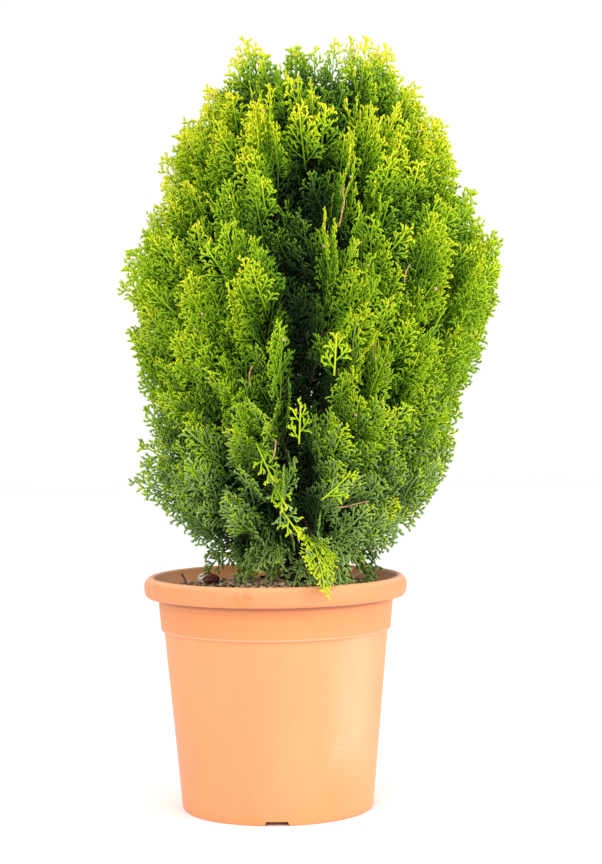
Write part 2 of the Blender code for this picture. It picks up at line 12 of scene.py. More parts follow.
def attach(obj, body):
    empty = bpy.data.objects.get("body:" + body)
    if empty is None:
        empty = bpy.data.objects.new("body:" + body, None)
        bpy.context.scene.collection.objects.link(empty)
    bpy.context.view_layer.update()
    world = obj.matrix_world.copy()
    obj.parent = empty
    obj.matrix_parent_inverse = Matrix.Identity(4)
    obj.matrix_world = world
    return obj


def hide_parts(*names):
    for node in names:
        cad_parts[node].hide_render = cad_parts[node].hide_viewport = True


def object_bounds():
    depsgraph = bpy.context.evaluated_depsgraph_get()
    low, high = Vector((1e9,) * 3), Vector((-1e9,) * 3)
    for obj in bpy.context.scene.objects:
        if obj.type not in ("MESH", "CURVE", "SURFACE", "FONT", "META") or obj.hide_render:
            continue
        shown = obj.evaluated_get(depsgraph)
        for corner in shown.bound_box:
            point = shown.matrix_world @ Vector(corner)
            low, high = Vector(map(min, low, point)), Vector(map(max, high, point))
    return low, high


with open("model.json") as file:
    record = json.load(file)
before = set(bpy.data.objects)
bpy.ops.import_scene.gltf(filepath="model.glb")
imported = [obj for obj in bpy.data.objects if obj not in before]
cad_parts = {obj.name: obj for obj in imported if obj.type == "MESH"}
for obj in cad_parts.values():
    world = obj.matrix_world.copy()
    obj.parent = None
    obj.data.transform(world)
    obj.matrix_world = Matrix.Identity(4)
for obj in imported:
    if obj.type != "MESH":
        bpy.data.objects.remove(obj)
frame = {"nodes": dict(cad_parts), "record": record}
CAD_LOW, CAD_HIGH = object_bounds()
SLOTS = {row["node"]: row["material_slot"] for row in frame["record"]["subparts"]}

# ---------------------------------------------------------------- view and light
CAMERA_DISTANCE = 1.80       # from the pot's axis
CAMERA_HEIGHT = 0.3885
CAMERA_SIDE = 0.0249         # to +X of the pot's axis
CAMERA_PITCH = math.radians(1.44)
CAMERA_ROLL = math.radians(-0.66)
CAMERA_LENS = 81.9
FLOOR_SIZE = 12.0

# ---------------------------------------------------------------- pot and soil
POT_HEIGHT = 0.2125
WALL = 0.0022
RIM_RADIUS = 0.1203
RIM_CREST_RADIUS = 0.1133
RIM_FACE = 0.0178
RIM_WIDEST = 0.2040          # height of the rim's widest place
RIM_TUCK = 0.0030
BAND_TOP = 0.1977
BAND_FOOT = 0.1642
BAND_TOP_RADIUS = 0.1078
BAND_FOOT_RADIUS = 0.1053
BODY_TOP = 0.1608
BODY_TOP_RADIUS = 0.1022
FOOT_RADIUS = 0.0874
FOOT_ROUND = 0.0016
FOOT_RING = 0.0060
FOOT_RAISE = 0.0042
PAD_RADIUS = 0.0300
NOTCH_COUNT = 4
NOTCH_WIDTH = 0.0240
NOTCH_TOP_WIDTH = 0.0185
DRAIN_COUNT = 8
DRAIN_RADIUS = 0.0050
POT_STEPS = 240
SOIL_LEVEL = 0.1995
SOIL_MOUND = 0.0060
SOIL_EDGE = 0.1053           # radius of the soil's surface
TRUNK_PLACE = (0.015, 0.0)
DEBRIS_COUNT = 2600
HEAP_PLACE = (-0.006, -0.052)
HEAP_RISE = 0.0075
HEAP_RADIUS = 0.026

# ---------------------------------------------------------------- crown
CROWN_BASE = 0.2275
CROWN_TOP = 0.6980
CROWN_RADIUS = 0.1740
CROWN_DEPTH = 0.90
CROWN_OUTLINE = ((0.0, 0.32), (0.08, 0.61), (0.13, 0.74), (0.27, 0.80), (0.42, 0.88), (0.56, 1.0),
                 (0.64, 0.90), (0.72, 0.79), (0.85, 0.64), (0.93, 0.50), (1.0, 0.32))
CROWN_CAP_DEPTH = 4.0        # how fast the painted shade deepens down from the crown's top
UNDERSIDE = 0.222            # the crown's lower limit at its axis
UNDERSIDE_RISE = 0.12        # and how far it rises at CROWN_RADIUS from there
OVERHANG = 0.008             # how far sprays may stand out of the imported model's box
OUTER_LIMIT = 1.06           # furthest exposure that a fan's side sprays reach
TOP_LIMIT = 0.668            # and the highest; only single sprigs stand above it
TIP_TO_FOOT = ((0.02, -0.02), (0.18, 0.02), (0.42, 0.135), (0.63, 0.30), (0.84, 0.45), (1.0, 0.60))
FACING = math.radians(26)    # how far the fans turn their flat sides to front and back
FILLER_COUNT = 112           # fans between the main ones
FILLER_REACH = (0.82, 0.99)
SLIT_BEARING = math.radians(-93)   # the dark slit between the two halves of the crown, in front
SLIT_HALF_ANGLE = math.radians(14)
SLIT_SHARES = (0.04, 0.84)
FAN_HALF_WIDTH = 0.040
SLIT_FAN_COUNT = 32          # shaded fans that close the slit further in
OUTER_COUNT = 560            # small sprays all over the outside of the crown
OUTER_REACH = (0.80, 1.05)
OUTER_LENGTH = (0.036, 0.062)
OUTER_PIECES = 14
CAP_SINK = 0.035             # how much lower the sprays near the axis end on the crown's top
INNER_COUNT = 120            # short shaded fans near the axis
HANGING_COUNT = 40           # shaded sprays that hang over the soil
LOW_SIDE = (-160, -100)      # bearings where more of them hang, in degrees
CONE_COUNT = 150             # small dry pinkish cones at the ends of old shoots
CONE_RADIUS = 0.0013
TWIG_EXPOSURE = 0.90         # how far out bare stretches of twig show
# bare tan stretches of twig: X and Z of both ends, radius, and -1 in front or 1 behind
BARE_TWIGS = (
    ((0.0590, 0.520), (0.0640, 0.556), 0.0007, -1),
    ((0.0700, 0.498), (0.0790, 0.508), 0.0007, -1),
    ((0.0850, 0.404), (0.0870, 0.424), 0.0008, -1),
    ((-0.0180, 0.386), (-0.0170, 0.404), 0.0008, -1),
    ((-0.0010, 0.322), (0.0030, 0.340), 0.0008, -1),
    ((0.0510, 0.278), (0.0840, 0.284), 0.0007, -1),
    ((-0.0700, 0.458), (-0.0660, 0.474), 0.0006, -1),
    ((0.1150, 0.472), (0.1190, 0.488), 0.0006, -1),
    ((-0.0400, 0.400), (-0.0340, 0.426), 0.0007, 1),
    ((0.0700, 0.450), (0.0740, 0.474), 0.0006, 1),
)
# sprigs that stand out of the outline: tip, length, lean to +X in degrees
SPRIGS = (
    ((-0.0300, -0.010, 0.684), 0.060, -10),
    ((-0.0440, 0.010, 0.655), 0.055, -22),
    ((-0.0100, 0.020, 0.672), 0.050, -4),
    ((0.0250, -0.020, 0.685), 0.055, 2),
    ((0.0520, 0.000, 0.672), 0.050, 6),
    ((0.0900, 0.000, 0.702), 0.070, 10),
    ((0.1080, 0.010, 0.697), 0.062, 18),
    ((0.1180, -0.010, 0.662), 0.050, 30),
    ((0.1500, 0.000, 0.627), 0.065, 14),
    ((0.1620, 0.010, 0.606), 0.050, 28),
    ((0.2060, 0.000, 0.520), 0.075, 34),
    ((0.1950, 0.020, 0.497), 0.060, 48),
    ((0.1900, -0.030, 0.512), 0.060, 36),
    ((-0.1340, 0.000, 0.508), 0.065, -50),
    ((-0.1370, -0.010, 0.480), 0.060, -62),
    ((-0.1040, 0.000, 0.552), 0.055, -38),
    ((-0.1290, -0.040, 0.494), 0.060, -46),
    ((-0.1240, 0.030, 0.455), 0.060, -58),
    ((-0.0960, -0.010, 0.596), 0.050, -30),
    ((-0.0660, 0.000, 0.630), 0.050, -26),
    ((-0.1290, 0.000, 0.302), 0.060, -72),
    ((-0.1240, 0.010, 0.335), 0.055, -60),
    ((0.1640, 0.000, 0.360), 0.055, 58),
    ((0.1290, -0.010, 0.270), 0.055, 66),
)

# sunlit sprigs in front, down at the foot of the slit
SUNLIT_SPRIGS = (
    ((0.0010, -0.110, 0.304), 0.036, 156),
    ((0.0125, -0.105, 0.280), 0.034, 152),
    ((0.0235, -0.100, 0.256), 0.034, 145),
    ((0.0670, -0.108, 0.310), 0.034, 48),
    ((0.0250, -0.118, 0.372), 0.036, 3),
    ((0.0560, -0.132, 0.430), 0.036, 4),
)

# ---------------------------------------------------------------- shoots
SPRAY_SPACING = 0.0130       # between successive side sprays of a fan
BRANCH_SPACING = 0.0056      # between successive branches of a spray
FINGER_SPACING = 0.0031      # between successive leafy shoots of a branch
NUB_SPACING = 0.0027         # between successive short side shoots of those
SHOOT_HALF_WIDTH = 0.00096
SHOOT_HALF_THICKNESS = 0.00050
SCALE_SPAN = 0.030           # length of leafy shoot that the scale pattern covers
SCALE_COUNT = 20             # scale-leaf pairs along that length
SEED = 20
GOLDEN_ANGLE = math.radians(137.508)
TOP_PAINTED_LIGHT = 0.24              # painted light: how much lighter the outside is at the crown's top
LOW_GLOW = 0.14              # and at its foot
SUNNY_SHIFT = 0.14           # how much lighter the sunlit hanging frond is


def unit(vectors):
    return vectors / np.maximum(np.linalg.norm(vectors, axis=-1, keepdims=True), 1e-12)


def mix(low, high, share):
    return low + (high - low) * share


def node_points(name):
    """A CAD node's distinct points at rest."""
    mesh = frame["nodes"][name].data
    points = np.zeros(len(mesh.vertices) * 3, np.float32)
    mesh.vertices.foreach_get("co", points)
    return np.unique(np.round(points.reshape(-1, 3).astype(float), 6), axis=0)


def rings_of(name, gap=0.004):
    """Centres and radii of the rings of points along an upright tube node."""
    points = node_points(name)
    points = points[np.argsort(points[:, 2])]
    splits = np.where(np.diff(points[:, 2]) > gap)[0] + 1
    groups = [group for group in np.split(points, splits) if len(group) > 3]
    centres = np.array([group.mean(0) for group in groups])
    radii = np.array([np.linalg.norm(group - centre, axis=1).max()
                      for group, centre in zip(groups, centres)])
    return centres, radii


# ---------------------------------------------------------------- node materials

class Shader:
    """A Principled material built up node by node."""

    def __init__(self, name, roughness, specular=0.4):
        self.material = bpy.data.materials.new(name)
        self.material.use_nodes = True
        self.nodes = self.material.node_tree.nodes
        self.links = self.material.node_tree.links
        self.principled = self.nodes["Principled BSDF"]
        self.principled.inputs["Roughness"].default_value = roughness
        self.principled.inputs["Specular IOR Level"].default_value = specular

    def add(self, kind, **settings):
        node = self.nodes.new(kind)
        for key, value in settings.items():
            setattr(node, key, value)
        return node

    def link(self, source, target):
        self.links.new(source, target)

    def value(self, target, source):
        """Link a socket, or set a plain number."""
        if isinstance(source, (int, float)):
            target.default_value = source
        else:
            self.link(source, target)

    def math(self, operation, first, second=0.0, clamp=False):
        node = self.add("ShaderNodeMath", operation=operation, use_clamp=clamp)
        self.value(node.inputs[0], first)
        self.value(node.inputs[1], second)
        return node.outputs[0]

    def ramp(self, source, stops):
        node = self.add("ShaderNodeValToRGB")
        elements = node.color_ramp.elements
        while len(elements) < len(stops):
            elements.new(0.5)
        for element, (place, colour) in zip(elements, stops):
            element.position = place
            element.color = (*colour, 1.0)
        self.link(source, node.inputs["Fac"])
        return node.outputs["Color"]

    def blend(self, factor, first, second, mode="MIX"):
        node = self.add("ShaderNodeMix", data_type="RGBA", blend_type=mode)
        self.value(node.inputs["Factor"], factor)
        for index, source in ((6, first), (7, second)):
            if isinstance(source, tuple):
                node.inputs[index].default_value = (*source, 1.0)
            else:
                self.link(source, node.inputs[index])
        return node.outputs[2]

    def coordinates(self, scale=(1, 1, 1)):
        node = self.add("ShaderNodeTexCoord")
        mapping = self.add("ShaderNodeMapping")
        mapping.inputs["Scale"].default_value = scale
        self.link(node.outputs["Object"], mapping.inputs["Vector"])
        return mapping.outputs["Vector"]

    def noise(self, vector, scale, detail=4.0, roughness=0.55):
        node = self.add("ShaderNodeTexNoise")
        node.inputs["Scale"].default_value = scale
        node.inputs["Detail"].default_value = detail
        node.inputs["Roughness"].default_value = roughness
        self.link(vector, node.inputs["Vector"])
        return node.outputs["Fac"]

    def spot(self, vector, centre, radius):
        """1 at a place, falling to 0 at a distance from it."""
        node = self.add("ShaderNodeVectorMath", operation="DISTANCE")
        self.link(vector, node.inputs[0])
        node.inputs[1].default_value = centre
        share = self.math("DIVIDE", node.outputs["Value"], radius)
        return self.math("SUBTRACT", 1.0, share, clamp=True)

    def threshold(self, source, low, high):
        """0 below low, 1 above high."""
        node = self.add("ShaderNodeMapRange", interpolation_type="SMOOTHSTEP")
        self.link(source, node.inputs["Value"])
        node.inputs["From Min"].default_value = low
        node.inputs["From Max"].default_value = high
        return node.outputs["Result"]

    def bump(self, height, strength, distance):
        node = self.add("ShaderNodeBump")
        node.inputs["Strength"].default_value = strength
        node.inputs["Distance"].default_value = distance
        self.link(height, node.inputs["Height"])
        self.link(node.outputs["Normal"], self.principled.inputs["Normal"])

    def colour(self, source):
        self.link(source, self.principled.inputs["Base Color"])

    def roughness(self, source):
        self.link(source, self.principled.inputs["Roughness"])


SUN_RAMP = ((0.0, (0.003, 0.009, 0.001)), (0.18, (0.040, 0.110, 0.002)), (0.38, (0.150, 0.320, 0.003)),
            (0.58, (0.330, 0.530, 0.004)), (0.78, (0.620, 0.700, 0.008)), (1.0, (0.950, 0.820, 0.030)))
SHADE_RAMP = ((0.0, (0.003, 0.008, 0.002)), (0.18, (0.028, 0.074, 0.012)), (0.42, (0.150, 0.265, 0.056)),
              (0.70, (0.320, 0.475, 0.105)), (1.0, (0.540, 0.670, 0.140)))


def foliage_material():
    """Scale leaves.  U runs along the shoots, with sunlit shoots (painted light) in its lower half and
    shaded ones (painted shade) in its upper half; V is the tint, from dark green, both old foliage and
    painted shade deep in the crown, to new golden tips."""
    shader = Shader("thuja_scale_leaves", 0.58, 0.22)
    uv = shader.add("ShaderNodeUVMap", uv_map="OFBake")
    split = shader.add("ShaderNodeSeparateXYZ")
    shader.link(uv.outputs["UV"], split.inputs["Vector"])
    along, tint = split.outputs["X"], split.outputs["Y"]
    shaded = shader.math("GREATER_THAN", along, 0.5)
    colour = shader.blend(shaded, shader.ramp(tint, SUN_RAMP), shader.ramp(tint, SHADE_RAMP))
    saw = shader.math("FRACT", shader.math("MULTIPLY", along, 2.0 * SCALE_COUNT))
    crevice = shader.math("POWER", saw, 6.0)
    # painted shade in the crevices between the scale-leaf pairs
    colour = shader.blend(shader.math("MULTIPLY", crevice, 0.35), colour, (0.02, 0.045, 0.004))
    shader.colour(colour)
    shader.bump(shader.math("SUBTRACT", 1.0, crevice), 0.5, 0.0003)
    return shader.material


def bark_material():
    shader = Shader("thuja_bark", 0.85, 0.2)
    strips = shader.noise(shader.coordinates((1, 1, 0.18)), 260.0, 6.0, 0.6)
    patches = shader.noise(shader.coordinates(), 60.0, 3.0)
    colour = shader.ramp(strips, ((0.30, (0.014, 0.008, 0.005)), (0.52, (0.060, 0.032, 0.018)),
                                  (0.72, (0.190, 0.115, 0.070))))
    colour = shader.blend(shader.math("MULTIPLY", patches, 0.5), colour, (0.075, 0.044, 0.025))
    shader.colour(colour)
    shader.bump(strips, 0.7, 0.0008)
    return shader.material


def pot_material():
    """Moulded terracotta-coloured plastic with a faint relief on the band, dust and scuffs; painted shade on the
    rim, under it and in a frond's shadow, and painted highlights on the crest, the band's foot, a sheen down the
    body and the inner wall.
    """
    shader = Shader("terracotta_plastic_worn", 0.48, 0.45)
    place = shader.coordinates()
    split = shader.add("ShaderNodeSeparateXYZ")
    shader.link(place, split.inputs["Vector"])
    height = split.outputs["Z"]
    flow = shader.noise(shader.coordinates((1, 1, 0.35)), 16.0, 5.0)
    grain = shader.noise(place, 900.0, 2.0)
    colour = shader.ramp(flow, ((0.30, (0.765, 0.285, 0.108)), (0.55, (0.805, 0.312, 0.122)),
                                (0.75, (0.835, 0.345, 0.148))))
    band = shader.threshold(height, BAND_FOOT - 0.0012, BAND_FOOT + 0.0008)
    colour = shader.blend(shader.math("MULTIPLY", band, 0.55), colour, (0.690, 0.240, 0.078))
    # painted shade: the rim is darker from its foot up
    rim_shade_mask = shader.threshold(height, 0.1935, 0.1955)
    colour = shader.blend(shader.math("MULTIPLY", rim_shade_mask, 0.40), colour, (0.720, 0.265, 0.105))
    # painted highlight along the rim's crest
    crest = shader.threshold(height, 0.2080, 0.2118)
    colour = shader.blend(shader.math("MULTIPLY", crest, 0.55), colour, (0.880, 0.460, 0.240))
    # painted sheen: a broad pale highlight down one side of the body, below the band
    turn = shader.math("ARCTAN2", split.outputs["Y"], split.outputs["X"])
    off_painted_sheen = shader.math("ABSOLUTE", shader.math("SUBTRACT", turn, PAINTED_SHEEN_BEARING))
    painted_sheen = shader.math("SUBTRACT", 1.0, shader.math("DIVIDE", off_painted_sheen, PAINTED_SHEEN_HALF_ANGLE), clamp=True)
    painted_sheen = shader.math("MULTIPLY", painted_sheen, shader.math("SUBTRACT", 1.0, band))
    painted_sheen = shader.math("MULTIPLY", painted_sheen, shader.threshold(height, 0.020, 0.080))
    painted_sheen = shader.math("MULTIPLY", painted_sheen, shader.math("ADD", flow, 0.2))
    colour = shader.blend(shader.math("MULTIPLY", painted_sheen, 0.40), colour, (0.870, 0.510, 0.370))
    shaded_line = shader.math("MULTIPLY", shader.threshold(height, 0.1895, 0.1930),
                              shader.math("SUBTRACT", 1.0, shader.threshold(height, 0.1945, 0.1950)))
    colour = shader.blend(shader.math("MULTIPLY", shaded_line, 0.75), colour, (0.300, 0.110, 0.070))
    # painted highlight: a thin light line along the band's foot
    band_foot_highlight = shader.math("SUBTRACT", 1.0, shader.math("MULTIPLY", shader.math("ABSOLUTE", shader.math(
        "SUBTRACT", height, BAND_FOOT + 0.0008)), 1100.0), clamp=True)
    colour = shader.blend(shader.math("MULTIPLY", band_foot_highlight, 0.40), colour, (0.920, 0.590, 0.480))
    # painted light: the inside of the rim above the soil is brighter and redder than the plastic outside
    flat = shader.add("ShaderNodeVectorMath", operation="MULTIPLY")
    shader.link(place, flat.inputs[0])
    flat.inputs[1].default_value = (1.0, 1.0, 0.0)
    girth = shader.add("ShaderNodeVectorMath", operation="LENGTH")
    shader.link(flat.outputs["Vector"], girth.inputs[0])
    inside = shader.math("SUBTRACT", 1.0, shader.threshold(girth.outputs["Value"], 0.1105, 0.1125))
    inside = shader.math("MULTIPLY", inside, shader.threshold(height, 0.1960, 0.1990))
    colour = shader.blend(inside, colour, (0.980, 0.410, 0.175))
    mark_mottle = shader.threshold(shader.noise(shader.coordinates((1, 1, 2.2)), 190.0, 5.0, 0.65), 0.50, 0.62)
    # scuffs and stains, and the painted shadow of the hanging frond on the rim
    for centre, radius, mark_colour, strength in MARKS_AND_PAINTED_SHADOW:
        spot = shader.math("MULTIPLY", shader.spot(place, centre, radius), strength)
        spot = shader.math("MULTIPLY", spot, shader.math("ADD", mark_mottle, 0.25), clamp=True)
        colour = shader.blend(spot, colour, mark_colour)
    specks = shader.threshold(shader.noise(place, 420.0, 2.0), 0.73, 0.77)
    dust = shader.threshold(shader.noise(place, 24.0, 4.0), 0.46, 0.66)
    specks = shader.math("MULTIPLY", specks, dust)
    colour = shader.blend(shader.math("MULTIPLY", specks, 0.5), colour, (0.33, 0.19, 0.12))
    scratch = shader.threshold(shader.noise(shader.coordinates((1, 1, 9.0)), 85.0, 3.0), 0.66, 0.72)
    colour = shader.blend(shader.math("MULTIPLY", scratch, 0.08), colour, (0.98, 0.72, 0.52))
    shader.roughness(shader.ramp(flow, ((0.3, (0.42, 0.42, 0.42)), (0.8, (0.58, 0.58, 0.58)))))
    cell = shader.math("MULTIPLY", shader.math("ADD", turn, 4.0), RELIEF_COUNT / math.tau)
    across = shader.math("ABSOLUTE", shader.math("SUBTRACT", shader.math("FRACT", cell), 0.5))
    middle = (BAND_TOP + BAND_FOOT) / 2
    rise = shader.math("DIVIDE", shader.math("SUBTRACT", height, middle), RELIEF_HEIGHT)
    rise = shader.math("ABSOLUTE", rise)
    ring = shader.math("MAXIMUM", across, rise)
    waves = shader.math("SINE", shader.math("MULTIPLY", ring, math.tau * 4))
    lines = shader.threshold(waves, -0.2, 0.4)
    within = shader.math("LESS_THAN", rise, 0.5)
    relief = shader.math("MULTIPLY", shader.math("MULTIPLY", lines, within), 0.6)
    shader.colour(shader.blend(shader.math("MULTIPLY", relief, 0.55), colour, (0.800, 0.270, 0.060)))
    shader.bump(shader.math("ADD", relief, shader.math("MULTIPLY", grain, 0.35)), 0.55, 0.0005)
    return shader.material


PAINTED_SHEEN_BEARING = math.radians(-42)    # where a broad painted highlight, a pale sheen, lies on the body
PAINTED_SHEEN_HALF_ANGLE = math.radians(24)
RELIEF_COUNT = 44
RELIEF_HEIGHT = 0.0170
# places on the pot, how far the mark spreads, its colour and strength: scuffs and stains, and one painted shadow
MARKS_AND_PAINTED_SHADOW = (
    ((-0.029, -0.1160, 0.2010), 0.0120, (0.52, 0.170, 0.040), 0.9),
    ((-0.022, -0.1170, 0.2050), 0.0070, (0.45, 0.150, 0.040), 0.9),
    # painted shadow of the hanging frond on the rim
    ((0.0340, -0.1140, 0.2040), 0.0150, (0.50, 0.230, 0.130), 0.9),
    ((-0.1040, -0.0570, 0.2040), 0.0100, (0.40, 0.160, 0.080), 0.6),
    ((-0.1120, -0.0380, 0.2020), 0.0060, (0.26, 0.110, 0.060), 0.7),
    ((0.0400, -0.0985, 0.1740), 0.0090, (0.66, 0.240, 0.050), 0.9),
    ((0.0330, -0.1010, 0.1830), 0.0060, (0.60, 0.220, 0.060), 0.7),
    ((0.0480, -0.0745, 0.0200), 0.0210, (0.66, 0.270, 0.070), 0.8),
    ((0.0300, -0.0830, 0.0120), 0.0150, (0.68, 0.290, 0.090), 0.7),
    ((0.0560, -0.0750, 0.0650), 0.0140, (0.88, 0.540, 0.400), 0.3),
)


def earth_material():
    """Potting soil: dark, crumbly, with paler fibres."""
    shader = Shader("potting_soil", 0.95, 0.15)
    place = shader.coordinates()
    crumbs = shader.noise(place, 420.0, 6.0, 0.7)
    patches = shader.noise(place, 70.0, 3.0)
    colour = shader.ramp(crumbs, ((0.30, (0.012, 0.007, 0.004)), (0.50, (0.060, 0.034, 0.020)),
                                  (0.68, (0.170, 0.105, 0.062)), (0.80, (0.330, 0.235, 0.150))))
    colour = shader.blend(shader.math("MULTIPLY", patches, 0.35), colour, (0.10, 0.062, 0.040))
    shader.colour(colour)
    shader.bump(crumbs, 0.9, 0.0015)
    return shader.material


def tinted_material(name, stops, scale, depth, roughness=0.9, uv_tone=False):
    """Rough natural matter whose colour wanders between stops, with a matching relief."""
    shader = Shader(name, roughness, 0.25)
    mottle = shader.noise(shader.coordinates(), scale, 6.0, 0.65)
    tone = mottle
    if uv_tone:
        uv = shader.add("ShaderNodeUVMap", uv_map="OFBake")
        split = shader.add("ShaderNodeSeparateXYZ")
        shader.link(uv.outputs["UV"], split.inputs["Vector"])
        streaks = shader.math("MULTIPLY", shader.math("SUBTRACT", mottle, 0.5), 0.5)
        tone = shader.math("ADD", split.outputs["Y"], streaks, clamp=True)
    shader.colour(shader.ramp(tone, stops))
    shader.bump(mottle, 0.7, depth)
    return shader.material


# ---------------------------------------------------------------- meshes from arrays

def mesh_object(name, vertices, quads, triangles, material, uv=None, smooth=True):
    """An object from arrays of vertices, quads and triangles; uv holds one pair per vertex."""
    loops = np.concatenate([quads.ravel(), triangles.ravel()]).astype(np.int32)
    starts = np.concatenate([np.arange(len(quads)) * 4,
                             len(quads) * 4 + np.arange(len(triangles)) * 3]).astype(np.int32)
    mesh = bpy.data.meshes.new(name)
    mesh.vertices.add(len(vertices))
    mesh.vertices.foreach_set("co", vertices.astype(np.float32).ravel())
    mesh.loops.add(len(loops))
    mesh.loops.foreach_set("vertex_index", loops)
    mesh.polygons.add(len(starts))
    mesh.polygons.foreach_set("loop_start", starts)
    mesh.polygons.foreach_set("use_smooth", np.full(len(starts), smooth))
    if uv is not None:
        layer = mesh.uv_layers.new(name="OFBake")
        layer.uv.foreach_set("vector", uv[loops].astype(np.float32).ravel())
    mesh.update(calc_edges=True)
    mesh.materials.append(material)
    obj = bpy.data.objects.new(name, mesh)
    bpy.context.scene.collection.objects.link(obj)
    return obj


def stacked(pieces):
    """Several (vertices, quads, triangles, uv) sets as one."""
    vertices, quads, triangles, uvs = [], [], [], []
    start = 0
    for points, four, three, uv in pieces:
        vertices.append(points)
        quads.append(four + start)
        triangles.append(three + start)
        uvs.append(uv)
        start += len(points)
    return (np.concatenate(vertices), np.concatenate(quads), np.concatenate(triangles),
            np.concatenate(uvs))


def placed(obj, slot, *nodes):
    """Hang a piece on the part's root and hide the CAD nodes it stands for."""
    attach(obj, "root")
    if nodes:
        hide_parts(*nodes)
    return obj


def turned_arrays(profile, steps):
    """Vertices, quads and triangles of a profile turned about Z; both its ends lie on the axis."""
    inner = np.array(profile[1:-1])
    angles = np.arange(steps) / steps * math.tau
    rings = np.stack([inner[:, None, 0] * np.cos(angles), inner[:, None, 0] * np.sin(angles),
                      np.repeat(inner[:, 1:], steps, axis=1)], axis=-1)
    vertices = np.concatenate([rings.reshape(-1, 3), [[0, 0, profile[0][1]], [0, 0, profile[-1][1]]]])
    ring, step = np.meshgrid(np.arange(len(inner) - 1), np.arange(steps), indexing="ij")
    following = (step + 1) % steps
    quads = np.stack([ring * steps + step, (ring + 1) * steps + step, (ring + 1) * steps + following,
                      ring * steps + following], axis=-1).reshape(-1, 4)
    around = np.arange(steps)
    last = (len(inner) - 1) * steps
    first_end = len(vertices) - 2
    triangles = np.concatenate([
        np.stack([np.full(steps, first_end), around, (around + 1) % steps], axis=1),
        np.stack([np.full(steps, first_end + 1), last + (around + 1) % steps, last + around], axis=1)])
    return vertices, quads, triangles


def cut_from(obj, cutter_mesh):
    """Take a cutter's volume out of an object's mesh."""
    cutter = bpy.data.objects.new("cutter", cutter_mesh)
    bpy.context.scene.collection.objects.link(cutter)
    cut = obj.modifiers.new("cut", "BOOLEAN")
    cut.solver = "EXACT"
    cut.operation = "DIFFERENCE"
    cut.object = cutter
    depsgraph = bpy.context.evaluated_depsgraph_get()
    mesh = bpy.data.meshes.new_from_object(obj.evaluated_get(depsgraph))
    obj.modifiers.clear()
    obj.data = mesh
    bpy.data.objects.remove(cutter, do_unlink=True)


def uneven(points, scale, depth, seed=0.0):
    """Push points about by a smooth noise."""
    moved = points.copy()
    for index, point in enumerate(points):
        shift = noise.noise_vector(Vector(point) * scale + Vector((seed, seed, seed)))
        moved[index] += np.array(shift) * depth
    return moved


# ---------------------------------------------------------------- pot

def ellipse(centre, radii, start, end, count):
    angles = np.radians(np.linspace(start, end, count + 1))
    return [(centre[0] + radii[0] * math.cos(a), centre[1] + radii[1] * math.sin(a)) for a in angles]


def pot_profile():
    """Inner floor, inner wall, rolled rim, band, body and raised underside."""
    floor = FOOT_RAISE + WALL
    slope = (BODY_TOP_RADIUS - FOOT_RADIUS) / BODY_TOP
    rim_low = POT_HEIGHT - RIM_FACE
    inside = [(0.0, WALL), (PAD_RADIUS, WALL), (PAD_RADIUS + FOOT_RAISE, floor),
              (FOOT_RADIUS + slope * floor - WALL, floor),
              (BODY_TOP_RADIUS - WALL, BODY_TOP), (BAND_FOOT_RADIUS - WALL, BAND_FOOT),
              (BAND_TOP_RADIUS - WALL, BAND_TOP), (RIM_CREST_RADIUS - 0.0040, BAND_TOP + 0.0065)]
    crest = ellipse((RIM_CREST_RADIUS, POT_HEIGHT - 0.0030), (0.0026, 0.0030), 175, 92, 6)
    outer = ellipse((RIM_CREST_RADIUS, RIM_WIDEST), (RIM_RADIUS - RIM_CREST_RADIUS, POT_HEIGHT - RIM_WIDEST),
                    88, 0, 14)
    lower = ellipse((RIM_RADIUS - RIM_TUCK, RIM_WIDEST), (RIM_TUCK, RIM_WIDEST - rim_low), -12, -90, 8)
    band = [(BAND_TOP_RADIUS + 0.0012, BAND_TOP - 0.0004), (BAND_TOP_RADIUS, BAND_TOP - 0.0016)]
    band += [(mix(BAND_TOP_RADIUS, BAND_FOOT_RADIUS, t), mix(BAND_TOP - 0.002, BAND_FOOT + 0.0022, t))
             for t in np.linspace(0.02, 1, 10)]
    band += ellipse((BAND_FOOT_RADIUS - 0.0012, BAND_FOOT + 0.0010), (0.0012, 0.0012), 0, -70, 4)
    step = [(mix(BAND_FOOT_RADIUS - 0.0010, BODY_TOP_RADIUS + 0.0006, t * t * (3 - 2 * t)),
             mix(BAND_FOOT - 0.0004, BODY_TOP + 0.0016, t)) for t in np.linspace(0.12, 1, 7)]
    body = [(FOOT_RADIUS + slope * z, z) for z in np.linspace(BODY_TOP, FOOT_ROUND, 24)]
    foot = ellipse((FOOT_RADIUS - FOOT_ROUND, FOOT_ROUND), (FOOT_ROUND, FOOT_ROUND), -15, -90, 5)
    ring = FOOT_RADIUS - FOOT_RING
    under = [(ring, 0.0), (ring - FOOT_RAISE * 0.5, FOOT_RAISE), (PAD_RADIUS + FOOT_RAISE * 0.5, FOOT_RAISE),
             (PAD_RADIUS, 0.0), (0.0, 0.0)]
    return inside + crest + outer + lower + band + step + body + foot + under


